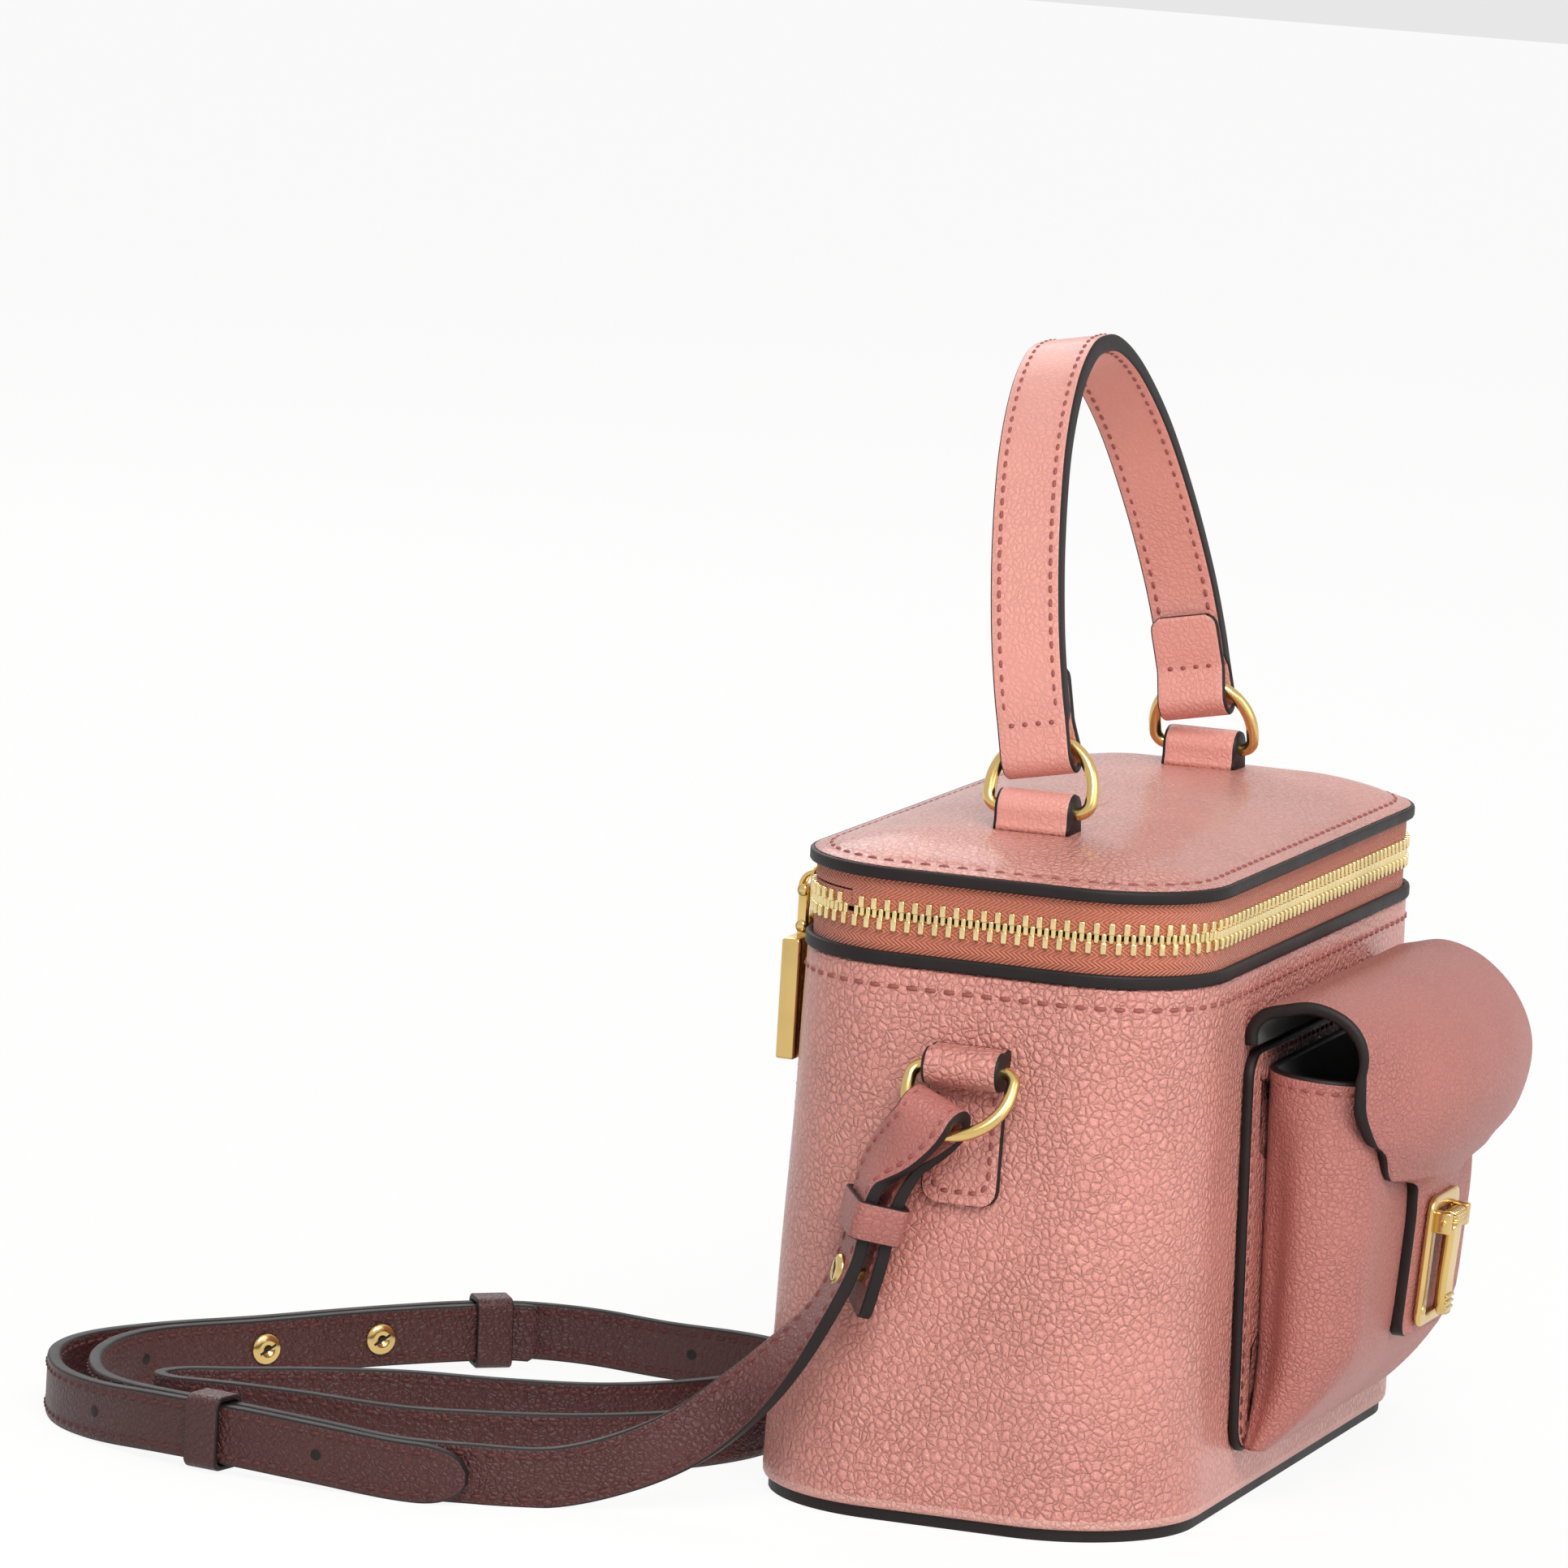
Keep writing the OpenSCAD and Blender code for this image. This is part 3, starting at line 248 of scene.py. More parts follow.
def clothFinish(name, color):
    # two crossed sine waves make the weave, with fuzz on top
    f = Finish(name)
    base = linearColor(color)
    x, y, z = (f.axis(letter) for letter in "XYZ")
    turn = 6283.2 / 0.45  # one turn for each 0.45 millimetres
    weave = ((x + y) * turn).math("SINE") * (z * turn + (x - y) * turn * 0.5).math("SINE") * 0.5 + 0.5
    fuzz = f.noise(900.0, 3.0)
    return f.set(Base_Color=f.mix(weave * 0.6 + fuzz * 0.3, dark(base, 0.7), dark(base, 1.35)), Roughness=0.86,
                 Normal=f.bump(weave * 0.6 + fuzz * 0.4, 0.00018), Sheen_Weight=0.2)


leather = {key: pebbledLeather(key[0].upper() + key[1:], finishes[key], **more) for key, more in {
    "bodyLeather": {"grain": 1.6, "depth": 0.00019, "calm": 0.6, "gloss": 0.3, "coat": 0.34},
    "lidLeather": {"grain": 1.5, "depth": 0.00018, "calm": 0.6, "gloss": 0.28, "coat": 0.34},
    # darker than the body's leather: painted shade of the front
    "flapLeather": {"grain": 1.15, "depth": 0.0001, "calm": 0.6, "gloss": 0.42, "coat": 0.1},
    "handleLeather": {"grain": 1.2, "depth": 0.000045, "calm": 0.4, "gloss": 0.4},
    # a darker copy of the body's leather: painted shade
    "strapLeather": {"grain": 1.2, "depth": 0.0001, "calm": 0.5, "gloss": 0.4, "coat": 0.08,
                     # the strap's colour near the ground: painted shade
                     "low": finishes["strapShade"]},
    "turnedEdge": {"grain": 1.2, "depth": 0.0001, "calm": 0.4},
}.items()}
edgePaint, brass, thread = edgePaintFinish(), brassFinish(), threadFinish()
knurledBrass = brassFinish("KnurledBrass", knurl=True)
toothBrass = brassFinish("ToothBrass", dull=0.05, color="toothBrass")
zipTape, liningCloth = zipTapeFinish(), clothFinish("LiningCloth", finishes["lining"])
print("finishes made:", len(bpy.data.materials))


def writeMesh(name, points, quads, materials, faceMaterial=None, uv=None, body=None, smooth=True, fix=True):
    # points in millimetres; quads are rows of four point numbers, with -1 for a triangle
    mesh = bpy.data.meshes.new(name)
    faces = [[i for i in q if i >= 0] for q in np.asarray(quads).tolist()]
    mesh.from_pydata((np.asarray(points) * 0.001).tolist(), [], faces)
    for m in materials:
        mesh.materials.append(m)
    if faceMaterial is not None:
        mesh.polygons.foreach_set("material_index", np.asarray(faceMaterial, dtype=np.int32))
    if uv is not None:
        loops = np.empty(len(mesh.loops), dtype=np.int32)
        mesh.loops.foreach_get("vertex_index", loops)
        mesh.uv_layers.new(name="UVMap").data.foreach_set("uv", np.asarray(uv, dtype=np.float32)[loops].ravel())
    mesh.polygons.foreach_set("use_smooth", np.full(len(mesh.polygons), smooth))
    if fix:
        work = bmesh.new()
        work.from_mesh(mesh)
        bmesh.ops.remove_doubles(work, verts=work.verts, dist=2e-6)
        bmesh.ops.recalc_face_normals(work, faces=work.faces)
        work.to_mesh(mesh)
        work.free()
    piece = bpy.data.objects.new(name, mesh)
    bpy.context.collection.objects.link(piece)
    if body:
        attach(piece, body)
    return piece


def gridFaces(rows, cols, closed=False):
    # quads between neighbouring rows of a grid of points whose columns close on themselves
    r, c = np.meshgrid(np.arange(rows if closed else rows - 1), np.arange(cols), indexing="ij")
    r2, c2 = (r + 1) % rows, (c + 1) % cols
    return np.stack([r * cols + c, r * cols + c2, r2 * cols + c2, r2 * cols + c], -1).reshape(-1, 4)


def closedShape(rings, closed=False):
    # points and faces of a closed profile (columns) carried along a path (rows); open paths get fans at both ends
    rows, cols = rings.shape[:2]
    quads, points = gridFaces(rows, cols, closed), rings.reshape(-1, 3)
    if not closed:
        k, blank, last = np.arange(cols), np.full(cols, -1), (rows - 1) * cols
        fans = [[np.full(cols, len(points)), (k + 1) % cols, k, blank],
                [np.full(cols, len(points) + 1), last + k, last + (k + 1) % cols, blank]]
        quads = np.concatenate([quads] + [np.stack(fan, -1) for fan in fans])
        points = np.concatenate([points, rings[0].mean(0)[None], rings[-1].mean(0)[None]])
    return points, quads


def carried(name, rings, materials, body, closed=False, profileMaterial=None, uv=None, capMaterial=0):
    # closedShape() as a piece; profileMaterial has a material number for each column
    rows, cols = rings.shape[:2]
    points, quads = closedShape(rings, closed)
    index = np.tile(np.zeros(cols, int) if profileMaterial is None else profileMaterial, rows if closed else rows - 1)
    if not closed:
        index = np.concatenate([index, np.full(2 * cols, capMaterial)])
        if uv is not None:
            uv = np.concatenate([uv.reshape(-1, 2), uv[0].mean(0, keepdims=True), uv[-1].mean(0, keepdims=True)])
    if uv is not None:
        uv = uv.reshape(-1, 2)
    return writeMesh(name, points, quads, materials, index, uv, body)


def together(name, shapes, materials, body, **more):
    # several (points, quads, material number or one for each face) shapes in one mesh
    points, quads, index, count = [], [], [], 0
    for p, q, m in shapes:
        points.append(p)
        quads.append(np.where(q >= 0, q + count, -1))
        index.append(np.full(len(q), m))
        count += len(p)
    return writeMesh(name, np.concatenate(points), np.concatenate(quads), materials, np.concatenate(index), None, body,
                     **more)


def roundedOutline(halfL, halfW, radius, corner=12, along=40, deep=18):
    # straight runs and quarter circles, anticlockwise from the middle of the right end, with so many steps in
    # each corner, in each long side and in each short side
    t = np.linspace(0, np.pi / 2, corner + 1)
    cx, cy = halfL - radius, halfW - radius
    right = np.stack([np.full(deep // 2, halfL), np.linspace(0, cy, deep // 2 + 1)[:-1]], -1)
    arc1 = np.stack([cx + radius * np.cos(t), cy + radius * np.sin(t)], -1)
    top = np.stack([np.linspace(cx, -cx, along + 1)[1:-1], np.full(along - 1, halfW)], -1)
    quarter = np.concatenate([right, arc1, top[:len(top) // 2 + 1]])
    upper = np.concatenate([quarter, (quarter[::-1] * [-1, 1])[1:]])
    lower = upper[::-1][1:-1] * [1, -1]
    return np.concatenate([upper, lower])


def outlineNormals(outline):
    # the heading of each outline point turned a quarter clockwise, so it points outwards
    step = np.roll(outline, -1, 0) - np.roll(outline, 1, 0)
    step /= np.linalg.norm(step, axis=1, keepdims=True)
    return np.stack([step[:, 1], -step[:, 0]], -1)


def wallSize(z):
    # length, depth and corner radius of the tapering case at height z, straight between base and rim
    t = z / caseShape["wallTop"]
    return [(1 - t) * caseShape["base" + k] + t * caseShape["rim" + k] for k in ("Length", "Depth", "Radius")]


def wallLoop(inset, z, **more):
    # outline of the case at height z, moved in by inset
    length, depth, radius = wallSize(z)
    xy = roundedOutline(length / 2 - inset, depth / 2 - inset, max(radius - inset, 1.0), **more)
    return np.column_stack([xy, np.full(len(xy), z)])


def rimLoop(inset, z, **more):
    # outline of the rim at any height, moved in by inset; its corners stay round however far in it goes
    xy = roundedOutline(caseShape["rimLength"] / 2 - inset, caseShape["rimDepth"] / 2 - inset,
                        max(caseShape["rimRadius"] - inset, 1.2), **more)
    return np.column_stack([xy, np.full(len(xy), z)])


def smoothPath(points, steps):
    # Catmull-Rom curve through the rows of points
    p = np.asarray(points, float)
    p = np.concatenate([p[:1], p, p[-1:]])
    t = (np.arange(steps) / steps)[None, :, None]
    a, b, c, d = (p[i:len(p) - 3 + i][:, None, :] for i in range(4))
    body = 0.5 * (2 * b + (c - a) * t + (2 * a - 5 * b + 4 * c - d) * t ** 2 + (3 * b - a - 3 * c + d) * t ** 3)
    return np.concatenate([body.reshape(-1, p.shape[1]), p[-1:]])


def evenPath(path, step):
    # the same path with equal spacing
    length = np.concatenate([[0], np.cumsum(np.linalg.norm(np.diff(path[:, :3], axis=0), axis=1))])
    spots = np.linspace(0, length[-1], max(int(length[-1] / step), 2) + 1)
    return np.stack([np.interp(spots, length, path[:, k]) for k in range(path.shape[1])], -1)


def unitRows(v):
    # each row divided by its length
    return v / np.maximum(np.linalg.norm(v, axis=-1, keepdims=True), 1e-9)


def strapSection(width, thick, bevel, flats):
    # rounded oblong: long faces in flats steps, four corner arcs; returns points and 1 where an edge is painted
    w, t = width / 2, thick / 2
    bevel = min(bevel, t * 0.95)
    a = np.linspace(0, np.pi / 2, 5)
    corner = np.stack([w - bevel + bevel * np.cos(a), t - bevel + bevel * np.sin(a)], -1)
    top = np.stack([np.linspace(w - bevel, -w + bevel, flats + 1)[1:-1], np.full(flats - 1, t)], -1)
    upper = np.concatenate([corner, top, (corner * [-1, 1])[::-1]])
    lower = upper[::-1] * [1, -1]
    points = np.concatenate([upper, lower])
    middle = (points + np.roll(points, -1, 0)) / 2
    return points, (np.abs(middle[:, 0]) > w - bevel * 0.75).astype(int)


def bandRings(path, across, width, thick, bevel, flats):
    # a strap section set up at each point of a path, its width along across
    go = unitRows(np.gradient(path, axis=0))
    across = unitRows(across - go * np.sum(across * go, 1, keepdims=True))
    out = np.cross(go, across)
    width, thick = np.broadcast_to(width, len(path)), np.broadcast_to(thick, len(path))
    rings = []
    for p, a, o, w, t in zip(path, across, out, width, thick):
        section, paint = strapSection(w, t, bevel, flats)
        rings.append(p + section[:, :1] * a + section[:, 1:] * o)
    return np.stack(rings), paint, out


def tubeRings(path, radius, sides):
    # circles square to a closed path, turned as little as possible from one to the next
    go = unitRows(np.roll(path, -1, 0) - np.roll(path, 1, 0))
    axis = np.array([0.3, 0.2, 1.0]) if abs(go[0][2]) < 0.9 else np.array([1.0, 0.1, 0.2])
    normal = [np.cross(go[0], axis)]
    for g in go[1:]:
        normal.append(normal[-1] - g * normal[-1].dot(g))
    n = unitRows(np.stack(normal))
    b = np.cross(go, n)
    a = np.linspace(0, 2 * np.pi, sides, endpoint=False)
    return path[:, None] + radius * (np.cos(a)[None, :, None] * n[:, None] + np.sin(a)[None, :, None] * b[:, None])


def boxShape(size, bevel, frameMatrix=None):
    # a box with bevelled edges, as (points, quads)
    work = bmesh.new()
    bmesh.ops.create_cube(work, size=1)
    for v in work.verts:
        v.co = Vector((v.co.x * size[0], v.co.y * size[1], v.co.z * size[2]))
    bmesh.ops.bevel(work, geom=work.edges[:], offset=bevel, segments=3, profile=0.5, affect="EDGES")
    bmesh.ops.triangulate(work, faces=[f for f in work.faces if len(f.verts) > 4])
    points = np.array([v.co for v in work.verts])
    quads = np.array([[v.index for v in f.verts] + [-1] * (4 - len(f.verts)) for f in work.faces])
    work.free()
    return placed(points, frameMatrix), quads


def placed(points, matrix):
    # rows of points turned and moved by the matrix
    if matrix is None:
        return points
    return points @ np.array(matrix.to_3x3()).T + np.array(matrix.translation)


def latheShape(profile, sides, matrix):
    # (radius, height) pairs turned about Z; the ends sit on the axis
    profile = np.asarray(profile, float)
    a = np.linspace(0, 2 * np.pi, sides, endpoint=False)
    points = np.stack([profile[:, :1] * np.cos(a), profile[:, :1] * np.sin(a),
                       np.repeat(profile[:, 1:], sides, 1)], -1)
    return placed(points.reshape(-1, 3), matrix), gridFaces(len(profile), sides)


stitchRows = {}


def sew(body, path, out, pitch=3.7, length=2.7, thick=0.42, closed=False):
    # keeps a row of stitches for later: places, a little under the path, with headings and outward directions
    path = np.asarray(path, float)
    if closed:
        path, out = np.concatenate([path, path[:1]]), np.concatenate([out, out[:1]])
    both = evenPath(np.column_stack([path, np.broadcast_to(out, path.shape)]), pitch)
    spots = (both[1:] + both[:-1]) / 2
    go = unitRows(np.diff(both[:, :3], axis=0))
    stitchRows.setdefault(body, []).append((spots[:, :3] - unitRows(spots[:, 3:6]) * 0.1, go, unitRows(spots[:, 3:6]),
                                            length, thick))


def sewAll():
    # each stitch is a small bent spindle: its ends dip into the leather
    along = np.array([-0.5, -0.34, 0, 0.34, 0.5])
    size = np.array([0.35, 0.95, 1.1, 0.95, 0.35])
    dip = np.array([-0.9, -0.12, 0.25, -0.12, -0.9])
    a = np.linspace(0, 2 * np.pi, 6, endpoint=False)
    caps = [[0, 5, 4, 3], [0, 3, 2, 1], [24, 25, 26, 27], [24, 27, 28, 29]]
    each = np.concatenate([gridFaces(len(along), len(a)), caps])
    for body, rows in stitchRows.items():
        shapes = []
        for spots, go, out, length, thick in rows:
            side = np.cross(go, out)
            centre = (spots[:, None] + along[None, :, None] * length * go[:, None]
                      + dip[None, :, None] * thick * out[:, None])
            spoke = (np.cos(a)[None, None, :, None] * side[:, None, None]
                     + np.sin(a)[None, None, :, None] * 0.8 * out[:, None, None])
            ring = centre[:, :, None] + (size[None, :, None, None] * thick) * spoke
            first = len(along) * len(a) * np.arange(len(spots))[:, None, None]
            shapes.append((ring.reshape(-1, 3), (each[None] + first).reshape(-1, 4), 0))
        piece = together("stitches_" + body, shapes, [thread], body, fix=False)


def finishPiece(piece, slotName, *nodes):
    # hides the nodes that the piece stands for; slotName is not used
    if nodes:
        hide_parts(*nodes)
    return piece


def profileRings(profile, loop, **more):
    # profile is (inset, height) pairs round a closed section; rows follow the outline, columns the profile
    return np.stack([loop(i, z, **more) for i, z in profile], 1)


def roundedBand(insetA, insetB, low, high, bevel):
    # closed section of a band with rounded edges, as (inset, height) pairs
    section, _ = strapSection(insetB - insetA, high - low, bevel, 3)
    return section + [(insetA + insetB) / 2, (low + high) / 2]


def swell(points, amount, seed):
    # a shallow waviness of hand-made leather, smooth over several centimetres
    x, y, z = points[..., 0], points[..., 1], points[..., 2]
    wave = (np.sin(x * 0.071 + seed) * np.cos(z * 0.083 + 1.7 * seed) + np.sin(y * 0.093 + z * 0.061 + 2.3 * seed)
            + 0.5 * np.sin(x * 0.15 + y * 0.11 - z * 0.13 + seed))
    return wave * amount / 2.5


print("case body")
bodyPiece = {"wave": 0.35, "turnHeight": 3.3, "stitchDrop": 3.9, "stitchOut": 0.12}
wallProfile = np.concatenate([
    [[1.7, 2.25], [0.9, 2.3], [0.35, 2.6], [0.08, 3.2]],
    np.column_stack([np.zeros(30), np.linspace(4.2, 104.9, 30)]),
    [[0.25, 105.35], [0.9, 105.4], [1.6, 105.4]],
    [[1.8, 100.0], [1.8, 60.0], [1.8, 10.0]]])
wallGrid = {"along": 64, "deep": 28, "corner": 16}
wallRings = profileRings(wallProfile, wallLoop, **wallGrid)
normals = outlineNormals(wallRings[:, 20, :2])
lift = swell(wallRings, bodyPiece["wave"], 1.3) * np.sin(np.clip((wallRings[..., 2] - 3) / 102, 0, 1) * np.pi)
wallRings[..., :2] += normals[:, None] * np.where(wallProfile[:, 0] < 0.2, 1, 0)[None, :, None] * lift[..., None]
wallMaterial = np.where(wallProfile[:, 1] < bodyPiece["turnHeight"], 1, 0)
finishPiece(carried("body_leather", wallRings, [leather["bodyLeather"], leather["turnedEdge"]], "case", True,
                    wallMaterial), "blush_leather", "wall_leather")
rimStitch = wallLoop(-bodyPiece["stitchOut"], caseShape["wallTop"] - bodyPiece["stitchDrop"], **wallGrid)
sew("case", rimStitch, np.column_stack([outlineNormals(rimStitch[:, :2]), np.zeros(len(rimStitch))]), closed=True)

rimBand = profileRings(roundedBand(-0.6, 0.9, caseShape["wallTop"], caseShape["rimTop"], 0.55), rimLoop)
finishPiece(carried("rim_edge", rimBand, [edgePaint], "case", True), "edge_paint", "rim_binding")
lidBand = profileRings(roundedBand(-0.6, 0.7, caseShape["lidEdge"], caseShape["lidTop"], 0.55), rimLoop)
finishPiece(carried("lid_edge", lidBand, [edgePaint], "lid", True), "edge_paint", "lid_binding")

liningProfile = [(3.0, 4.0), (3.0, 55.0), (3.0, 105.6), (3.2, 106.5), (3.6, 106.5),
                 (3.9, 105.8), (3.9, 80.0), (3.9, 55.0), (3.9, 30.0), (3.9, 4.0)]
finishPiece(carried("inner_lining", profileRings(liningProfile, wallLoop), [liningCloth], "case", True),
            "lining_cloth", "wall_lining", "wall_board")
padSteps = [(4.1, 2.3), (4.1, 4.0), (4.6, 4.5), (7.0, 4.7), (20.0, 4.75), (38.0, 4.75)]
floorPad = np.stack([wallLoop(inset, z) for inset, z in padSteps])
finishPiece(carried("floor_pad", floorPad, [liningCloth], "case"), "lining_cloth", "floor_lining", "floor_board")
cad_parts["base_panel"].data.materials.clear()
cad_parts["base_panel"].data.materials.append(edgePaint)

# back panel: a stitched skin over the back wall with painted side edges
backPanel = {"half": 62.0, "thick": 1.2, "low": 3.2, "high": 104.8, "stitchX": 59.4}
zs = np.linspace(backPanel["low"], backPanel["high"], 24)
backY = np.array([wallSize(z)[1] / 2 for z in zs])
skin = []
for z, y in zip(zs, backY):
    length, _, radius = wallSize(z)
    section, paint = strapSection(2 * min(length / 2 - radius, backPanel["half"]), backPanel["thick"], 0.5, 20)
    skin.append(np.column_stack([section[:, 0], y + 0.62 + section[:, 1], np.full(len(section), z)]))
finishPiece(carried("back_skin", np.stack(skin), [leather["bodyLeather"], edgePaint], "case", False, paint,
                    capMaterial=1), "blush_leather", "back_panel")
for side in (-1, 1):
    row = np.column_stack([np.full(len(zs), side * backPanel["stitchX"]), backY + 1.24, zs])[1:-1]
    sew("case", row, np.tile([0.0, 1.0, 0.02], (len(row), 1)))

print("lid")
lidPiece = {"crown": 5.4, "reach": 34.0, "power": 2.4, "stitchInset": 3.4, "wave": 0.3}


def crownRise(d):
    # padded rise of the lid at distance d from its outline
    return lidPiece["crown"] * (1 - (1 - np.minimum(np.maximum(d, 0) / lidPiece["reach"], 1)) ** lidPiece["power"])


def groovedTop(d):
    # height of the lid at distance d from its outline: the padded rise less the groove of its stitches
    groove = 0.45 * np.exp(-((d - lidPiece["stitchInset"]) / 0.7) ** 2)
    return caseShape["lidTop"] + crownRise(d) - groove


lidGrid = {"along": 80, "deep": 36, "corner": 16}
lidInsets = np.concatenate([[0.25, 0.5, 0.9, 1.5, 2.3, 3.2, 4.3], np.linspace(5.6, 40.2, 26)])
lidSteps = [(0.8, 122.9), (0.8, 123.95)] + [(d, groovedTop(d)) for d in lidInsets]
lidRows = np.stack([rimLoop(inset, z, **lidGrid) for inset, z in lidSteps])
lidRows[5:, :, 2] += swell(lidRows[5:], lidPiece["wave"], 0.4) * np.linspace(0, 1, len(lidRows) - 5)[:, None] ** 0.5
finishPiece(carried("lid_leather", lidRows, [leather["lidLeather"]], "lid"), "blush_leather", "lid_panel")
lidStitch = rimLoop(lidPiece["stitchInset"], caseShape["lidTop"] + float(crownRise(lidPiece["stitchInset"])) - 0.36)
sew("lid", lidStitch, np.tile([0.0, 0.0, 1.0], (len(lidStitch), 1)), closed=True)
innerSteps = [(2.2, 122.7), (2.15, 121.0), (2.6, 120.4), (5.0, 120.1), (20.0, 119.95), (38.0, 119.95)]
lidInner = np.stack([rimLoop(inset, z, **lidGrid) for inset, z in innerSteps])
finishPiece(carried("lid_lining_cloth", lidInner, [liningCloth], "lid"), "lining_cloth", "lid_lining", "lid_board")

print("zip")
zipPiece = {"pitch": 2.75, "inset": 0.9, "tape": 0.7, "left": -34.0, "right": 48.0, "lidEnd": 61.8, "teeth": 51,
            "turnY": 26.94, "chainRadius": 22.75, "sideRun": 17.25, "start": 60.0, "stops": (-35.3, 53.1),
            "meshedTo": 59, "foot": 3.0, "partedFoot": 5.2, "backingInset": 5.2}
tapeHeights = {
    "zip_tape_case": (105.5, 114.3), "zip_tape_lid": (118.6, 122.8), "zip_tape_lid_edge": (115.3, 118.7),
    "zip_tape_end_left": (115.3, 118.25), "zip_tape_end_right": (115.3, 118.25),
    "zip_tape_lid_back_left": (120.3, 122.8), "zip_tape_lid_back_right": (118.45, 122.8),
    "zip_backing_tape": (109.2, 119.6),
}


def openRun(inset, left, right):
    # the rim outline without the stretch of the back between left and right, and without repeats
    xy = rimLoop(inset, 0, corner=18, along=280, deep=60)[:, :2]
    nearBack = caseShape["rimDepth"] / 2 - inset - 0.01
    back = np.flatnonzero(xy[:, 1] > nearBack)
    xy = np.roll(xy, -back[len(back) // 2], 0)
    return xy[~((xy[:, 1] > nearBack) & (xy[:, 0] > left) & (xy[:, 0] < right))]


def tapePiece(name, xy, body, *nodes):
    # upright tape along a flat path between its two heights; its UV map runs along and up it in millimetres
    low, high = tapeHeights[name]
    path = np.column_stack([xy, np.full(len(xy), (low + high) / 2)])
    rings, _, _ = bandRings(path, np.tile([0.0, 0.0, 1.0], (len(path), 1)), high - low, zipPiece["tape"], 0.2, 4)
    along = np.concatenate([[0], np.cumsum(np.linalg.norm(np.diff(xy, axis=0), axis=1))])
    uv = np.stack([np.repeat(along[:, None], rings.shape[1], 1), rings[..., 2] - low], -1)
    finishPiece(carried(name, rings, [zipTape], body, uv=uv), "zip_tape", *nodes)


middle = zipPiece["inset"] + zipPiece["tape"] / 2
caseRun = openRun(middle, zipPiece["left"], zipPiece["right"])
tapePiece("zip_tape_case", caseRun, "case", "zip_tape_lower")
lidRun = openRun(middle, -zipPiece["lidEnd"], zipPiece["lidEnd"])
tapePiece("zip_tape_lid", lidRun, "lid", "zip_tape_upper")
closeRun, closeLid = evenPath(caseRun, 0.4), evenPath(lidRun, 0.4)
tapePiece("zip_tape_lid_edge", closeLid[closeLid[:, 1] < zipPiece["turnY"] + 0.1], "lid")
behind = closeRun[:, 1] > zipPiece["turnY"] + 0.1
tapePiece("zip_tape_end_left", closeRun[behind & (closeRun[:, 0] < 0)], "case")
tapePiece("zip_tape_end_right", closeRun[behind & (closeRun[:, 0] > 0)], "case")

# short tapes close the back beside the hinge, and one behind them keeps the inside from showing
onBack = (closeRun[:, 1] > 39.5) & (np.abs(closeRun[:, 0]) < zipPiece["lidEnd"] + 0.1)
tapePiece("zip_tape_lid_back_left", closeRun[onBack & (closeRun[:, 0] < 0)], "lid")
tapePiece("zip_tape_lid_back_right", closeRun[onBack & (closeRun[:, 0] > 0)], "lid")
backing = evenPath(openRun(zipPiece["backingInset"], zipPiece["left"] - 0.6, zipPiece["right"] + 0.6), 1.5)
tapePiece("zip_backing_tape", backing, "case")


def chainAt(s):
    # place and heading on the left half of the chain, s counted from the middle of the front
    s = np.asarray(s, float)
    r, run, start, ones = zipPiece["chainRadius"], zipPiece["sideRun"], zipPiece["start"], np.ones(s.shape)
    turn = np.pi * r / 2
    b, c = start + turn, start + turn + 2 * run
    d = c + turn
    a1, a2 = (s - start) / r, (s - c) / r
    spots = [s < start, s < b, s < c, s < d]
    x = np.select(spots, [-s, -(start + r * np.sin(a1)), -(start + r) * ones, -(start + r * np.cos(a2))],
                  -start + (s - d))
    y = np.select(spots, [-(run + r) * ones, -(run + r * np.cos(a1)), s - b - run, run + r * np.sin(a2)], run + r)
    turnTo = np.select(spots, [np.pi * ones, np.pi - a1, np.pi / 2 * ones, np.pi / 2 - a2], 0.0)
    return x, y, turnTo


clampPart, clampQuads = boxShape((1.18, 2.45, 2.3), 0.3)
headPart, headQuads = boxShape((1.02, 1.75, 2.6), 0.42)
toothPoints = np.concatenate([clampPart + [0, 0, 1.15], headPart + [0, 0, 2.75]])
toothQuads = np.concatenate([clampQuads, np.where(headQuads >= 0, headQuads + len(clampPart), -1)])


def teeth(s, foot, up, right):
    # teeth standing at distances s with their outer ends at height foot
    x, y, turnTo = chainAt(s)
    c, n = np.cos(turnTo)[:, None], np.sin(turnTo)[:, None]
    p = toothPoints
    points = np.stack([x[:, None] + c * p[:, 0] - n * p[:, 1], y[:, None] + n * p[:, 0] + c * p[:, 1],
                       np.broadcast_to(foot + (p[:, 2] if up else -p[:, 2]), (len(x), len(p)))], -1)
    if right:
        points[..., 0] *= -1
    quads = toothQuads[None] + len(p) * np.arange(len(x))[:, None, None]
    quads = np.where(toothQuads[None] >= 0, quads, -1)
    return points.reshape(-1, 3), quads.reshape(-1, 4), 0


pitch, count, chainZ = zipPiece["pitch"], zipPiece["teeth"], caseShape["chainHeight"]
caseFoot, lidFoot = chainZ - zipPiece["foot"], chainZ + zipPiece["foot"]
caseTeeth = [teeth((np.arange(count) + 0.5) * pitch, caseFoot, True, right) for right in (False, True)]
finishPiece(together("teeth_case", caseTeeth, [toothBrass], "case"), "gold_metal", "zip_teeth_lower")
lidTeeth = [teeth(np.arange(int(right), count) * pitch, lidFoot, False, right) for right in (False, True)]
finishPiece(together("teeth_lid", lidTeeth, [toothBrass], "lid"), "gold_metal", "zip_teeth_upper")
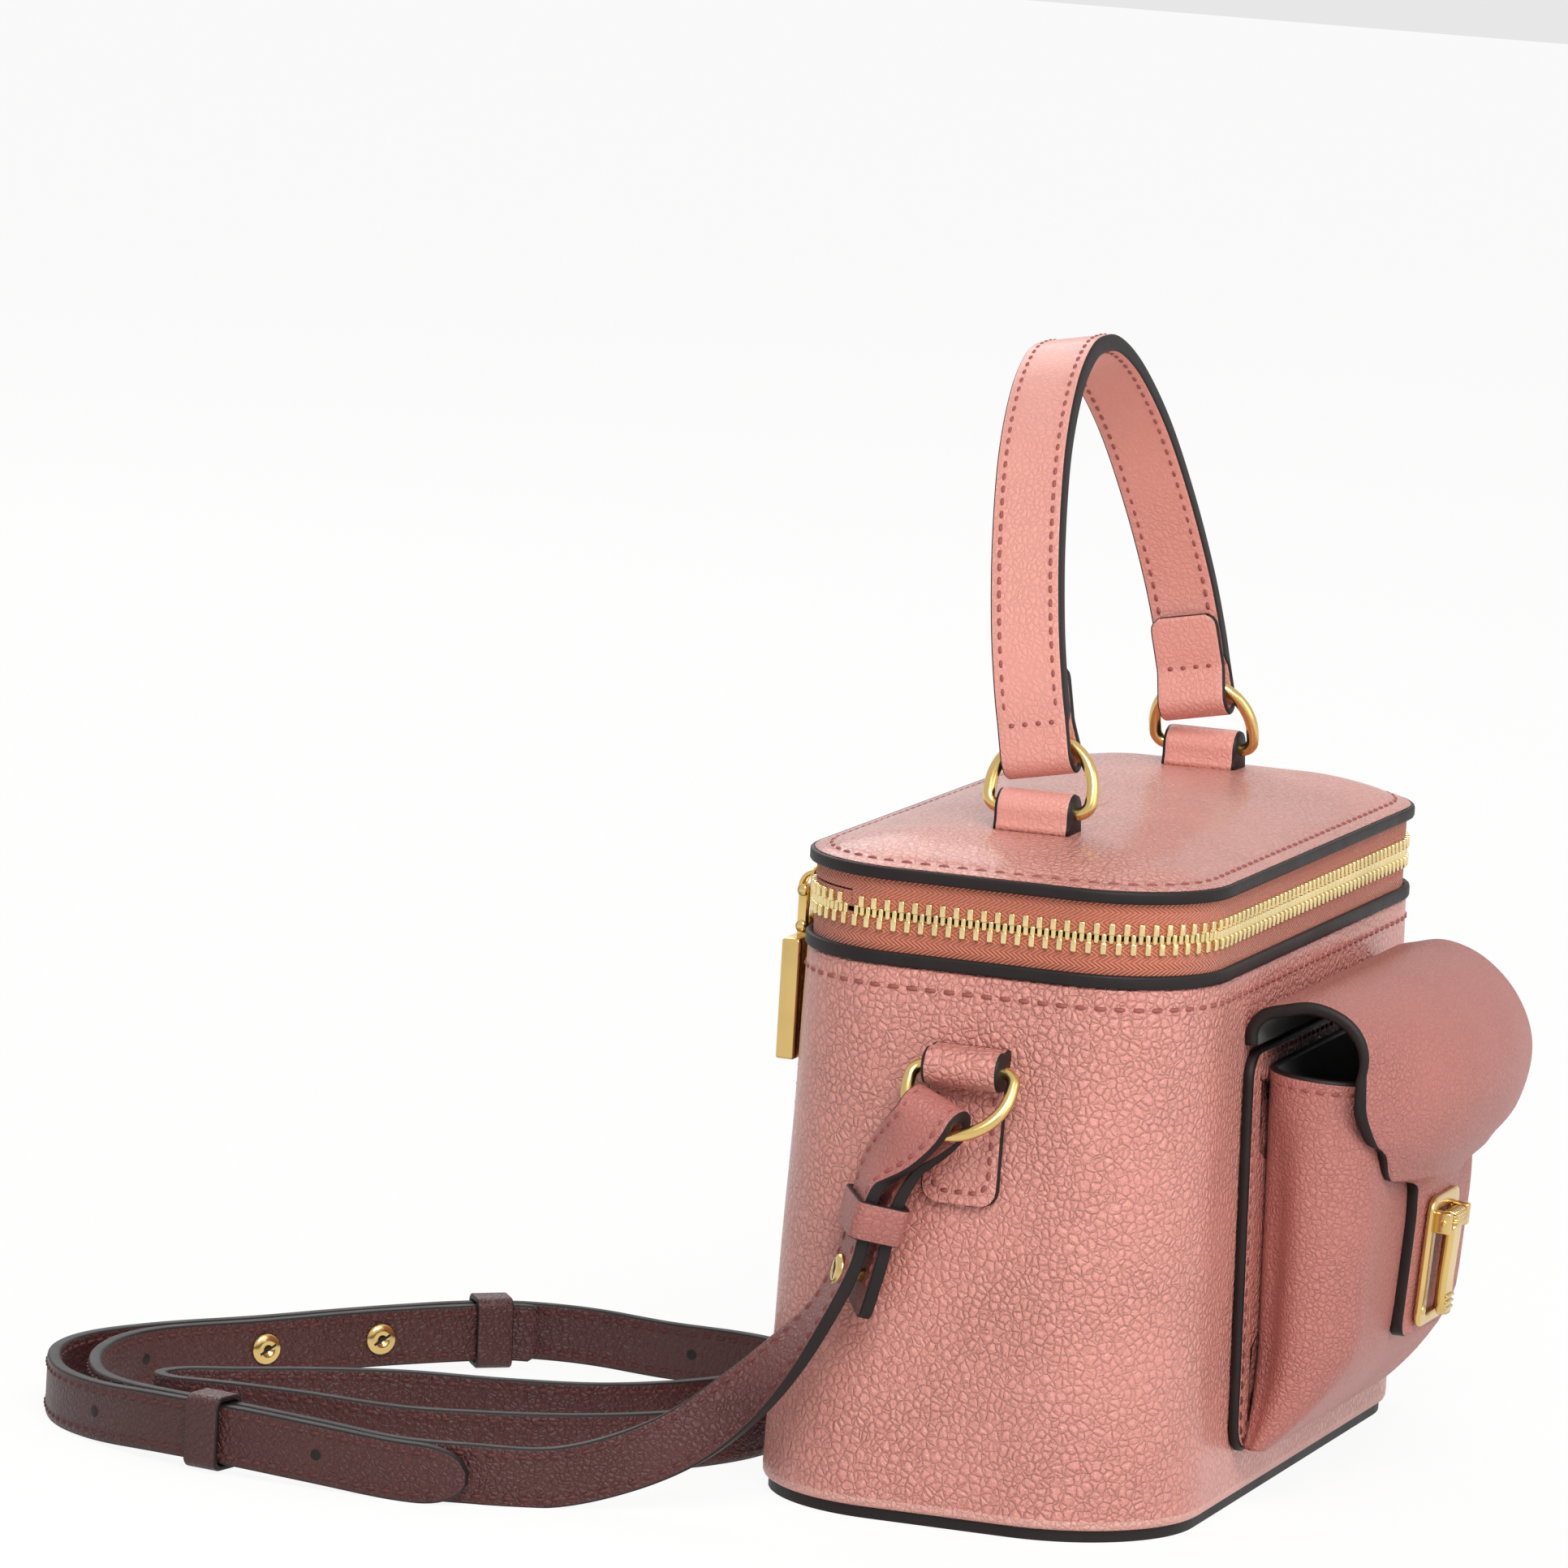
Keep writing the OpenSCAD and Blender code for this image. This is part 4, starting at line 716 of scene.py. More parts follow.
# the last teeth belong to the fixed ends; on the left they are parted by the slider
meshed = np.arange(count, zipPiece["meshedTo"])
parted = zipPiece["start"] + 2 * zipPiece["sideRun"] + np.pi * zipPiece["chainRadius"] + pitch * np.arange(8)
stopPoints, stopQuads = boxShape((1.8, 2.5, 5.0), 0.35)
for right, node in ((False, "zip_end_left"), (True, "zip_end_right")):
    shapes = [teeth((meshed + 0.5) * pitch, caseFoot, True, right), teeth((meshed + 1) * pitch, lidFoot, False, right)]
    if not right:
        shapes += [teeth(parted, chainZ - zipPiece["partedFoot"], True, False),
                   teeth(parted, chainZ + zipPiece["partedFoot"], False, False)]
    shapes.append((stopPoints + [zipPiece["stops"][right], 40.0, chainZ], stopQuads, 0))
    name = "teeth_end_right" if right else "teeth_end_left"
    finishPiece(together(name, shapes, [toothBrass], "case"), "gold_metal", node)

# hinge leather: one skin from the case to the lid
hingeY, hingeZ = caseShape["hinge"]
hingePiece = {"middle": 7.0, "width": 80.8, "thick": 1.0, "low": 105.5, "high": 122.8, "steps": 30}
steps = hingePiece["steps"]
hingePath = np.column_stack([np.full(steps, hingePiece["middle"]), np.full(steps, hingeY),
                             np.linspace(hingePiece["low"], hingePiece["high"], steps)])
hingeRings, hingePaint, _ = bandRings(hingePath, np.tile([1.0, 0, 0], (steps, 1)),
                                      hingePiece["width"], hingePiece["thick"], 0.35, 12)
hinge = finishPiece(carried("hinge_leather", hingeRings, [leather["lidLeather"], edgePaint], None, False, hingePaint),
                    "deep_leather", "hinge_leather_lower", "hinge_leather_upper")
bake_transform(hinge)

print("slider and puller")
pullPiece = {"x": -55.3, "chainY": 40.0, "pinY": 44.25, "pinZ": 113.8, "drop": 7.0, "bar": (14.0, 3.8, 23.5),
             "plate": (11.0, 4.5), "plateSides": ((37.4, 38.5), (41.5, 42.6)), "lipZ": 4.1, "crown": 3.4,
             "pin": (4.5, 0.9, 1.15), "cheekX": 3.5}


def turned(x, y, z, axis="Z", angle=0.0):
    # a place, with a turn about one axis
    return Matrix.Translation((x, y, z)) @ Matrix.Rotation(angle, 4, axis)


px, py, pz = pullPiece["x"], pullPiece["pinY"], pullPiece["pinZ"]
nose = np.array([[0.5, 0.0], [0.5, 0.62], [0.2, 1.0], [-0.28, 0.86], [-0.5, 0.62]])  # half outline of a slider plate
plate = np.concatenate([nose, nose[::-1] * [1, -1]]) * pullPiece["plate"]
plateShapes = []
for y0, y1 in pullPiece["plateSides"]:
    layers = [(y0, 0.93), (y0 + 0.25, 1.0), (y1 - 0.25, 1.0), (y1, 0.93)]
    rows = np.stack([np.column_stack([px - plate[:, 0] * k, np.full(len(plate), y), chainZ + plate[:, 1] * k])
                     for y, k in layers])
    plateShapes.append((*closedShape(rows), 0))
plateShapes.append((*boxShape((2.4, 3.4, 1.8), 0.3, turned(px + 4.3, pullPiece["chainY"], chainZ)), 0))
for side in (-1, 1):  # guide lips along the plates
    plateShapes.append((*boxShape((9.6, 1.0, 0.8), 0.25, turned(px - 0.3, 41.0, chainZ + side * pullPiece["lipZ"])), 0))
a, r = np.linspace(0, np.pi, 19), pullPiece["crown"]  # a bail over the outer plate holds the link's pin
crownPath = np.column_stack([np.full(19, px), 42.5 + r * np.sin(a), pz + r * np.cos(a)])
rings, _, _ = bandRings(crownPath, np.tile([1.0, 0, 0], (19, 1)), 3.0, 1.0, 0.4, 3)
plateShapes.append((*closedShape(rings), 0))
finishPiece(together("slider_body", plateShapes, [brass], "slider"), "gold_metal", "zip_slider")

pinAcross = Matrix.Rotation(np.pi / 2, 4, "Y")


def crossPin(z):
    # pin along X at height z, thicker at both ends
    reach, radius, bulb = pullPiece["pin"]
    profile = [[0, -reach], [bulb, -reach], [bulb, -reach + 0.7], [radius, -reach + 0.9], [radius, reach - 0.9],
               [bulb, reach - 0.7], [bulb, reach], [0, reach]]
    return (*latheShape(profile, 20, Matrix.Translation((px, py, z)) @ pinAcross), 0)


lowPinZ = pz - pullPiece["drop"]
linkShapes = [crossPin(pz), crossPin(lowPinZ)]
for side in (-1, 1):
    linkShapes.append((*boxShape((1.5, 2.1, 9.0), 0.5, turned(px + side * pullPiece["cheekX"], py, pz - 3.5)), 0))
finishPiece(together("puller_link_cheeks", linkShapes, [brass], "link"), "gold_metal", "puller_link")
barW, barT, barL = pullPiece["bar"]
barTop = lowPinZ - 2.2
barShapes = [(*boxShape((barW, barT, barL), 0.55, turned(px, py + 1.0, barTop - barL / 2)), 0),
             (*boxShape((4.8, 2.3, 4.2), 0.4, turned(px, py + 0.45, barTop + 0.6)), 0),
             (*latheShape([[0, -2.5], [1.6, -2.5], [1.6, 2.5], [0, 2.5]], 24,
                          Matrix.Translation((px, py, lowPinZ)) @ pinAcross), 0)]
finishPiece(together("puller_plate", barShapes, [brass], "bar"), "gold_metal", "puller_bar")

print("handle, rings and tabs")
ringPiece = {"wire": 1.25, "width": 20.5, "height": 14.2, "bend": 2.5}


def ringPath():
    # straight bar along Y at the origin, two corner bends, two legs and a half circle at the top, in the YZ plane
    w, h, b = ringPiece["width"] / 2, ringPiece["height"], ringPiece["bend"]
    a = np.linspace(0, np.pi / 2, 7)
    bend = np.stack([w - b + b * np.sin(a), b - b * np.cos(a)], -1)
    arc = np.linspace(0, np.pi, 33)
    crown = np.stack([w * np.cos(arc), h - w + w * np.sin(arc)], -1)
    bar = np.stack([np.linspace(-(w - b), w - b, 9)[:-1], np.zeros(8)], -1)
    flat = np.concatenate([bar, bend, crown, (bend * [-1, 1])[::-1][:-1]])
    return np.column_stack([np.zeros(len(flat)), flat])


def ringShape(matrix):
    # the ring's path carried by a round wire
    return (*closedShape(tubeRings(placed(ringPath(), matrix), ringPiece["wire"], 18), True), 0)


handlePiece = {
    "loopX": 53.6, "loopZ": 133.25, "ringTilt": 18.0, "lean": 11.0, "width": 14.2, "thick": 3.4, "ply": 1.5,
    "foldHalf": 4.0, "limbTilt": 6.0, "tab": 10.4, "rise": 68.0, "stitchIn": 1.9, "overRing": 0.5, "stitchGap": 1.4,
    "underRing": 7.6, "wave": 0.14,
}
tilt = np.radians(handlePiece["ringTilt"])
crownX = handlePiece["loopX"] - ringPiece["height"] * np.sin(tilt)
crownZ = handlePiece["loopZ"] + ringPiece["height"] * np.cos(tilt)
pivotZ = handlePiece["loopZ"] + (ringPiece["height"] - ringPiece["width"] / 2) * np.cos(tilt)
for side, name, body in ((-1, "left", "ring_left"), (1, "right", "ring_right")):
    spot = turned(side * handlePiece["loopX"], 0, handlePiece["loopZ"], "Y", -side * tilt)
    finishPiece(together("handle_wire_ring_" + name, [ringShape(spot)], [brass], body),
                "gold_metal", "handle_ring_" + name)

leanFrame = turned(0, 0, pivotZ, "X", -np.radians(handlePiece["lean"]))
stitchS = crownZ - pivotZ + ringPiece["wire"] + handlePiece["overRing"] + handlePiece["stitchGap"]
footX = crownX + handlePiece["foldHalf"] - handlePiece["thick"] / 2
halfArch = np.array([[1, 0], [0.99, 0.1], [0.94, 0.27], [0.82, 0.49], [0.63, 0.72], [0.4, 0.89], [0.18, 0.98], [0, 1]])
rightArch = np.column_stack([halfArch[:, 0] * footX, stitchS + 0.2 + halfArch[:, 1] * handlePiece["rise"]])
arch = smoothPath(np.concatenate([rightArch, (rightArch * [-1, 1])[::-1][1:]]), 10)


def foldPath():
    # from the stitches down the outer side, round the ring and up the inner side, about (crownX, stitchS)
    r = handlePiece["foldHalf"] - handlePiece["ply"] / 2
    low = -handlePiece["stitchGap"] - handlePiece["underRing"] - handlePiece["ply"] + handlePiece["foldHalf"]
    a = np.linspace(0, np.pi, 19)
    down = np.stack([np.full(6, r), np.linspace(-0.3, low, 7)[:-1]], -1)
    bow = np.stack([r * np.cos(a), low - r * np.sin(a)], -1)
    inner = handlePiece["foldHalf"] - handlePiece["thick"] - handlePiece["ply"] / 2 - 0.3
    up = np.stack([np.interp(np.linspace(0, 1, 12), [0, 0.35, 1], [-r, inner, inner]),
                   np.linspace(low, handlePiece["tab"], 12)], -1)[1:]
    flat = np.concatenate([down, bow, up])
    k = -np.radians(handlePiece["limbTilt"])
    turn = np.array([[np.cos(k), np.sin(k)], [-np.sin(k), np.cos(k)]])
    return flat @ turn.T + [crownX, stitchS]


def inHandle(flat):
    # points of the handle's own plane placed in the case frame
    return placed(np.column_stack([flat[:, 0], np.zeros(len(flat)), flat[:, 1]]), leanFrame)


leanY = np.array(leanFrame.to_3x3() @ Vector((0, 1, 0)))


def leftOf(flat, far):
    # a plane curve moved square to itself
    go = unitRows(np.gradient(flat, axis=0))
    return flat + far * np.stack([-go[:, 1], go[:, 0]], -1)


def lengthAlong(path):
    # distance of each point from the path's start
    return np.concatenate([[0], np.cumsum(np.linalg.norm(np.diff(path, axis=0), axis=1))])


# one strip: its outer face runs from the left tab round the ring, over the arch and round to the right tab
foldFace = leftOf(foldPath(), handlePiece["ply"] / 2)
archFace = leftOf(arch[::-1], handlePiece["thick"] / 2)
face = evenPath(inHandle(np.concatenate([(foldFace * [-1, 1])[::-1], archFace, foldFace])), 0.8)
along = lengthAlong(face)
foldRun = lengthAlong(inHandle(foldFace))[-1]
fromEnd = np.minimum(along, along[-1] - along)
thick = np.interp(fromEnd, [foldRun - 0.6, foldRun + 1.0], [handlePiece["ply"], handlePiece["thick"]])
wide = handlePiece["width"] * np.interp(fromEnd, [0, 0.5, 1.4, 2.6], [0.74, 0.87, 0.97, 1.0])
rings, stripPaint, out = bandRings(face, np.tile(leanY, (len(face), 1)), wide, thick, 0.6, 12)
rings += out[:, None] * (swell(rings, handlePiece["wave"], 2.2)[..., None] - thick[:, None, None] / 2)
strip = carried("handle_strip_leather", rings, [leather["handleLeather"], edgePaint], "handle", False, stripPaint,
                capMaterial=1)
finishPiece(strip, "blush_leather", "handle_strap", "handle_ends")
onArch = fromEnd > foldRun + 1.5
for side in (-1, 1):
    edge = face + side * (handlePiece["width"] / 2 - handlePiece["stitchIn"]) * leanY
    sew("handle", edge[onArch] + 0.04 * out[onArch], out[onArch], pitch=2.7, length=1.9, thick=0.36)
    below = fromEnd > foldRun + handlePiece["tab"] + 0.5
    sew("handle", (edge - out * (handlePiece["thick"] + 0.04))[below], -out[below], pitch=2.7, length=1.9, thick=0.36)
cross = np.linspace(-0.5, 0.5, 9)[:, None] * (handlePiece["width"] - 3.4) * leanY
for k in (np.argmin(np.abs(along - foldRun)), np.argmin(np.abs(along[-1] - along - foldRun)),
          np.argmin(np.abs(along - handlePiece["tab"])), np.argmin(np.abs(along[-1] - along - handlePiece["tab"]))):
    sew("handle", face[k] + cross + out[k] * 0.02, np.tile(out[k], (9, 1)), pitch=2.55, length=1.5, thick=0.5)


rollPiece = {"radius": 3.8, "width": 15.4, "lidFoot": 3.85, "sideFoot": 3.8, "spread": 0.4}


def loopRings(foot):
    # leather wrapped round a ring's bar along Y: a round head and a foot below, as a closed section
    r, width, spread = rollPiece["radius"], rollPiece["width"], rollPiece["spread"]
    a = np.linspace(-0.15, np.pi + 0.15, 25)
    head = np.stack([r * np.cos(a), r * np.sin(a)], -1)
    left = np.array([[-r * 0.98, -foot * 0.5], [-r - spread * 0.3, -foot + 1.0], [-r - spread, -foot]])
    section = np.concatenate([head, left, (left * [-1, 1])[::-1]])
    ys = np.array([-0.5, -0.49, -0.455, -0.4, -0.2, 0, 0.2, 0.4, 0.455, 0.49, 0.5]) * width
    size = np.array([0.86, 0.94, 0.99, 1, 1, 1, 1, 1, 0.99, 0.94, 0.86])
    isFoot = section[:, 1] < -foot + 0.01
    return np.stack([np.column_stack([section[:, 0] * k, np.full(len(section), y),
                                      np.where(isFoot, section[:, 1], section[:, 1] * k)]) for y, k in zip(ys, size)])


def loopPiece(name, matrix, foot, body, node, color):
    # the loop as a closed piece, its two cut ends painted
    rings = loopRings(foot)
    points, quads = closedShape(placed(rings, matrix))
    row = np.repeat(np.arange(len(rings) - 1), rings.shape[1])
    paintEnd = ((row < 2) | (row > len(rings) - 4)).astype(int)
    material = np.concatenate([paintEnd, np.ones(2 * rings.shape[1], int)])
    finishPiece(writeMesh(name, points, quads, [color, edgePaint], material, None, body), "blush_leather", node)


for side, name in ((-1, "left"), (1, "right")):
    spot = turned(side * handlePiece["loopX"], 0, handlePiece["loopZ"])
    loopPiece("lid_ring_loop_" + name, spot, rollPiece["lidFoot"], "lid", "lid_loop_" + name, leather["handleLeather"])

tabPiece = {"barZ": 88.0, "lowZ": 62.0, "width": 15.4, "thick": 1.6, "gap": 0.1, "ringTilt": 33.0, "foot": 3.2}
wallTilt = np.arctan((caseShape["baseLength"] - caseShape["rimLength"]) / 2 / caseShape["wallTop"])


def endFrame(side):
    # frame of an end wall at the tab's bar: X out of the wall, Z up it
    spin = turned(side * wallSize(tabPiece["barZ"])[0] / 2, 0, tabPiece["barZ"], "Z", 0 if side > 0 else np.pi)
    return spin @ Matrix.Rotation(-wallTilt, 4, "Y")


for side, name in ((-1, "left"), (1, "right")):
    wall = endFrame(side)
    bar = wall @ turned(tabPiece["gap"] + rollPiece["radius"], 0, 0)
    loopPiece("side_tab_roll_" + name, bar @ Matrix.Rotation(np.pi / 2, 4, "Y"), rollPiece["sideFoot"], "case",
              "side_tab_" + name, leather["bodyLeather"])
    zs = np.concatenate([[0, 0.35, 1.0, 2.0, 3.2], np.linspace(4.5, 27.0, 14)])
    foot = tabPiece["foot"]  # radius of the tab's lower corners
    half = tabPiece["width"] / 2 - foot + np.sqrt(np.maximum(foot ** 2 - np.maximum(foot - zs, 0) ** 2, 0.25))
    path = np.column_stack([np.full(len(zs), tabPiece["gap"] + 0.8), np.zeros(len(zs)),
                            zs + tabPiece["lowZ"] - tabPiece["barZ"]])
    rings, tabPaint, _ = bandRings(path, np.tile([0, 1.0, 0], (len(zs), 1)), 2 * half, tabPiece["thick"], 0.6, 10)
    carried("side_tab_flat_" + name, placed(rings, wall), [leather["bodyLeather"], edgePaint], "case", False,
                    tabPaint, capMaterial=1)
    w = tabPiece["width"] / 2 - 2.0
    border = np.array([[1.75, w, -4.5], [1.75, w, -22.0], [1.75, w - 1.4, -23.6], [1.75, -w + 1.4, -23.6],
                       [1.75, -w, -22.0], [1.75, -w, -4.5]])
    out = np.array(wall.to_3x3() @ Vector((1, 0, 0)))
    sew("case", placed(border, wall), np.tile(out, (6, 1)), pitch=2.7, length=2.0)
    spot = bar @ Matrix.Rotation(np.pi - np.radians(tabPiece["ringTilt"]), 4, "Y")
    finishPiece(together("side_wire_ring_" + name, [ringShape(spot)], [brass], "side_ring_" + name + "_body"),
                "gold_metal", "side_ring_" + name)

print("pocket")
pocketPiece = {
    "plateZ": 11.5, "plateTop": 90.0, "plateWidth": 92.0, "plateThick": 2.0, "corner": 6.0, "gap": 0.1,
    "width": 87.0, "depth": 22.0, "wall": 1.5, "round": 24.0, "edge": 10.5, "crease": 3.2, "bulge": 1.3,
    "lean": 5.0, "leanFrom": 47.0, "mouthDip": 1.6,
}
wallTiltY = np.arctan((caseShape["baseDepth"] - caseShape["rimDepth"]) / 2 / caseShape["wallTop"])
frontFrame = turned(0, -wallSize(pocketPiece["plateZ"])[1] / 2, pocketPiece["plateZ"], "X", -wallTiltY)


def onFront(points):
    # points of the front frame; what stands off the wall leans towards it below leanFrom
    points = np.array(points, float)
    far = np.clip((-points[..., 1] - 4) / 16, 0, 1)
    below = np.maximum(pocketPiece["leanFrom"] - points[..., 2], 0)
    points[..., 1] += far * np.tan(np.radians(pocketPiece["lean"])) * np.where(below < 6, below ** 2 / 12, below - 3)
    return placed(points, frontFrame)


plateH = pocketPiece["plateTop"] - pocketPiece["plateZ"]
plateFace = -pocketPiece["gap"] - pocketPiece["plateThick"]
plateLoop = roundedOutline(pocketPiece["plateWidth"] / 2, plateH / 2, pocketPiece["corner"],
                           corner=10, along=24, deep=20)
layers = [(-pocketPiece["gap"], 0.5), (-pocketPiece["gap"] - 0.4, 0.0), (plateFace + 0.5, 0.0),
          (plateFace + 0.12, 0.35), (plateFace, 0.9), (plateFace - 0.05, 4.0), (plateFace - 0.05, 20.0)]
inner = outlineNormals(plateLoop)
rows = np.stack([np.column_stack([(plateLoop - inner * d)[:, 0], np.full(len(plateLoop), y),
                                  (plateLoop - inner * d)[:, 1] + plateH / 2]) for y, d in layers])
rowOf = np.repeat(np.arange(len(rows) - 1), rows.shape[1])
material = np.concatenate([(rowOf < 4).astype(int), np.ones(rows.shape[1], int), np.zeros(rows.shape[1], int)])
plate, plateQuads = closedShape(rows)
finishPiece(writeMesh("pocket_plate_leather", onFront(plate), plateQuads, [leather["bodyLeather"], edgePaint],
                      material, None, "case"), "blush_leather", "pocket_back_plate")
border = plateLoop - inner * 1.7
outFront = np.array(frontFrame.to_3x3() @ Vector((0, -1, 0)))
sew("case", onFront(np.column_stack([border[:, 0], np.full(len(border), plateFace - 0.06), border[:, 1] + plateH / 2])),
    np.tile(outFront, (len(border), 1)), pitch=3.0, length=2.2, closed=True)


def pocketDepth(h):
    # full depth above the rounded foot, closing in as a parabola below it
    return pocketPiece["depth"] * (1 - 0.8 * (1 - np.minimum(h / pocketPiece["round"], 1)) ** 2)


def pocketRow(h, d, mouth):
    # outline at height h moved in by d; the sides are pinched by a crease beside the plate
    half = pocketDepth(h) / 2
    r = min(pocketPiece["edge"], half - 0.2)
    xy = roundedOutline(pocketPiece["width"] / 2 - d, half - d, max(r - d, 0.4), corner=10, along=34, deep=26)
    depth = (half - xy[:, 1]) / (2 * half)  # 0 at the plate, 1 at the front
    side = np.abs(xy[:, 0]) > pocketPiece["width"] / 2 - r - d
    k = np.sin(np.clip(h / 66, 0, 1) * np.pi) ** 0.6
    pinch = pocketPiece["crease"] * np.exp(-((depth - 0.2) / 0.13) ** 2) * k
    belly = pocketPiece["bulge"] * np.sin(np.clip(depth, 0, 1) * np.pi) * np.sin(np.clip((h - 4) / 66, 0, 1) * np.pi)
    xy[:, 0] += np.sign(xy[:, 0]) * np.where(side, belly - pinch, 0)
    xy[:, 1] -= np.where(depth > 0.5, 0.2 * np.sin(np.clip(h / 75, 0, 1) * np.pi), 0) * np.cos(xy[:, 0] / 30)
    return np.column_stack([xy[:, 0], xy[:, 1] + plateFace - half, np.full(len(xy), h) - mouth * np.clip(depth, 0, 1)])


outerLevels = np.concatenate([[0.8, 1.4, 2.4, 3.8, 5.5, 8, 11, 14, 18, 22], np.linspace(26, 74.2, 22), [74.8]])
innerLevels = np.array([75.0, 74.4, 70, 60, 45, 30, 24, 18, 14, 10, 6, 4])
pocketSteps = [(h, 0.12 if h > 74.5 else 0.0) for h in outerLevels]
pocketSteps += [(h, pocketPiece["wall"] * (0.5 if h > 74.9 else 1)) for h in innerLevels]
pocketRows = np.stack([pocketRow(h, d, pocketPiece["mouthDip"] if h > 50 else 0) for h, d in pocketSteps])
rowOf = np.repeat(np.arange(len(pocketRows) - 1), pocketRows.shape[1])
n = len(outerLevels)
material = np.where(rowOf < n - 2, 0, np.where(rowOf < n + 1, 1, 2))
points, pocketQuads = closedShape(pocketRows)
material = np.concatenate([material, np.zeros(pocketRows.shape[1], int), np.full(pocketRows.shape[1], 2)])
finishPiece(writeMesh("pocket_leather", onFront(points), pocketQuads,
                      [leather["flapLeather"], edgePaint, liningCloth], material, None, "case"),
            "blush_leather", "pocket_body")
# the mouth's stitches start beside the plate, after the widest gap between points
mouthRow = pocketRow(72.4, -0.1, pocketPiece["mouthDip"])
front = mouthRow[mouthRow[:, 1] < plateFace - 2.5]
gaps = np.linalg.norm(np.diff(np.concatenate([front, front[:1]]), axis=0), axis=1)
front = np.roll(front, -int(np.argmax(gaps)) - 1, 0)
sideways = np.where(np.abs(front[:, 0]) > 36, np.sign(front[:, 0]) * 2.0, 0.0)
facing = unitRows(np.column_stack([sideways, np.full(len(front), -1.0), np.zeros(len(front))]))
sew("case", onFront(front), facing @ np.array(frontFrame.to_3x3()).T, pitch=3.0, length=2.2)

print("flap and clasp")
flapPiece = {"thick": 2.5, "halfWidth": 46.0, "tongueHalf": 12.5, "shoulder": 52.5, "shoulderHalf": 29.0, "taper": 27.0,
             "step": 4.5, "tongueFoot": 19.5, "bulge": 4.4, "nearPlane": 22.4}
tongueY = plateFace - pocketPiece["depth"] - 0.9 - flapPiece["thick"] / 2
rootY = -flapPiece["thick"] / 2 - pocketPiece["gap"]
rootH = plateH + 1.3
hy, hz = rootY - 6.4, rootH + 7.2
rootLine = np.array([[rootY, rootH], [rootY - 0.2, rootH + 3.4], [rootY - 2.4, rootH + 6], [hy, hz]])
fallLine = np.array([[rootY - 12.4, rootH + 8], [rootY - 19.4, rootH + 5.4], [rootY - 25.8, rootH - 0.8],
                     [rootY - 29.6, rootH - 9.8], [rootY - 29.2, rootH - 20], [tongueY - 1.4, 54],
                     [tongueY - 0.1, 48.8], [tongueY, 44], [tongueY, 32], [tongueY, flapPiece["tongueFoot"]]])
side = evenPath(smoothPath(np.concatenate([rootLine, fallLine]), 8), 0.6)
sideGo = unitRows(np.gradient(side, axis=0))
sideOut = np.stack([-sideGo[:, 1], sideGo[:, 0]], -1)  # out of the flap's face
sideOut *= np.sign(sideOut[len(side) // 3, 0]) * -1
h = side[:, 1]
past = side[:, 0] < rootY - 24
drop = np.where(past, np.clip((flapPiece["shoulder"] + flapPiece["taper"] - h) / flapPiece["taper"], 0, 1), 0)
halfWidth = flapPiece["halfWidth"] - (flapPiece["halfWidth"] - flapPiece["shoulderHalf"]) * drop ** 2.6
inFoot = np.where(past, np.clip((flapPiece["shoulder"] - h) / flapPiece["step"], 0, 1), 0)
tongue, wider = inFoot > 0, flapPiece["shoulderHalf"] - flapPiece["tongueHalf"]
halfWidth[tongue] = flapPiece["tongueHalf"] + wider * (1 - inFoot[tongue]) ** 3
foot = np.clip((flapPiece["tongueFoot"] + 3.0 - h) / 3.0, 0, 1)
halfWidth -= np.where(past, 3.0 * (1 - np.sqrt(1 - foot ** 2 * 0.98)), 0)
across = np.concatenate([[-1, -0.985, -0.95], np.linspace(-0.88, 0.88, 25), [0.95, 0.985, 1]])
belly = np.exp(-((h - (rootH - 8)) / 17) ** 2) * np.clip((rootY - 6 - side[:, 0]) / 14, 0, 1)
# full in the middle, a little at the far side, and pressed flat on the pocket at the near side
near = np.clip(-across, 0, 1) ** 2.6 * np.clip(halfWidth[:, None] / flapPiece["halfWidth"], 0, 1)
excess = 2.0 * np.logaddexp(0, (-side[:, 0] - flapPiece["nearPlane"]) / 2.0) * np.clip((90 - h) / 12, 0, 1)
offset = belly[:, None] * (flapPiece["bulge"] * (1 - across ** 2) + 0.2 * (1 + across))[None] - excess[:, None] * near
mid = np.stack([np.broadcast_to(halfWidth[:, None] * across, offset.shape),
                side[:, None, 0] + sideOut[:, None, 0] * offset,
                side[:, None, 1] + sideOut[:, None, 1] * offset], -1)
outDirection = np.column_stack([np.zeros(len(side)), sideOut])[:, None]
face = mid + outDirection * flapPiece["thick"] / 2
back = mid - outDirection * flapPiece["thick"] / 2
face[:, [0, -1]] = mid[:, [0, -1]] + outDirection * 0.25 * flapPiece["thick"]
back[:, [0, -1]] = mid[:, [0, -1]] - outDirection * 0.25 * flapPiece["thick"]
flapRings = np.concatenate([face, back[:, ::-1]], 1)
m = len(across)
# leather on the face, paint round the edges, lining on the back
flapMaterial = np.concatenate([[1], np.zeros(m - 3, int), [1, 1, 1], np.full(m - 3, 2), [1, 1]])
flap = carried("flap_leather_sheet", onFront(flapRings), [leather["flapLeather"], edgePaint, liningCloth], None, False,
               flapMaterial, capMaterial=1)
finishPiece(flap, "blush_leather", "flap_root", "flap_leather", "flap_lining")
hinge0, hinge1 = (onFront([[0, hy + 2.2, hz + 0.4]])[0] / 1000, onFront([[0, hy - 2.2, hz - 0.4]])[0] / 1000)
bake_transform(flap)

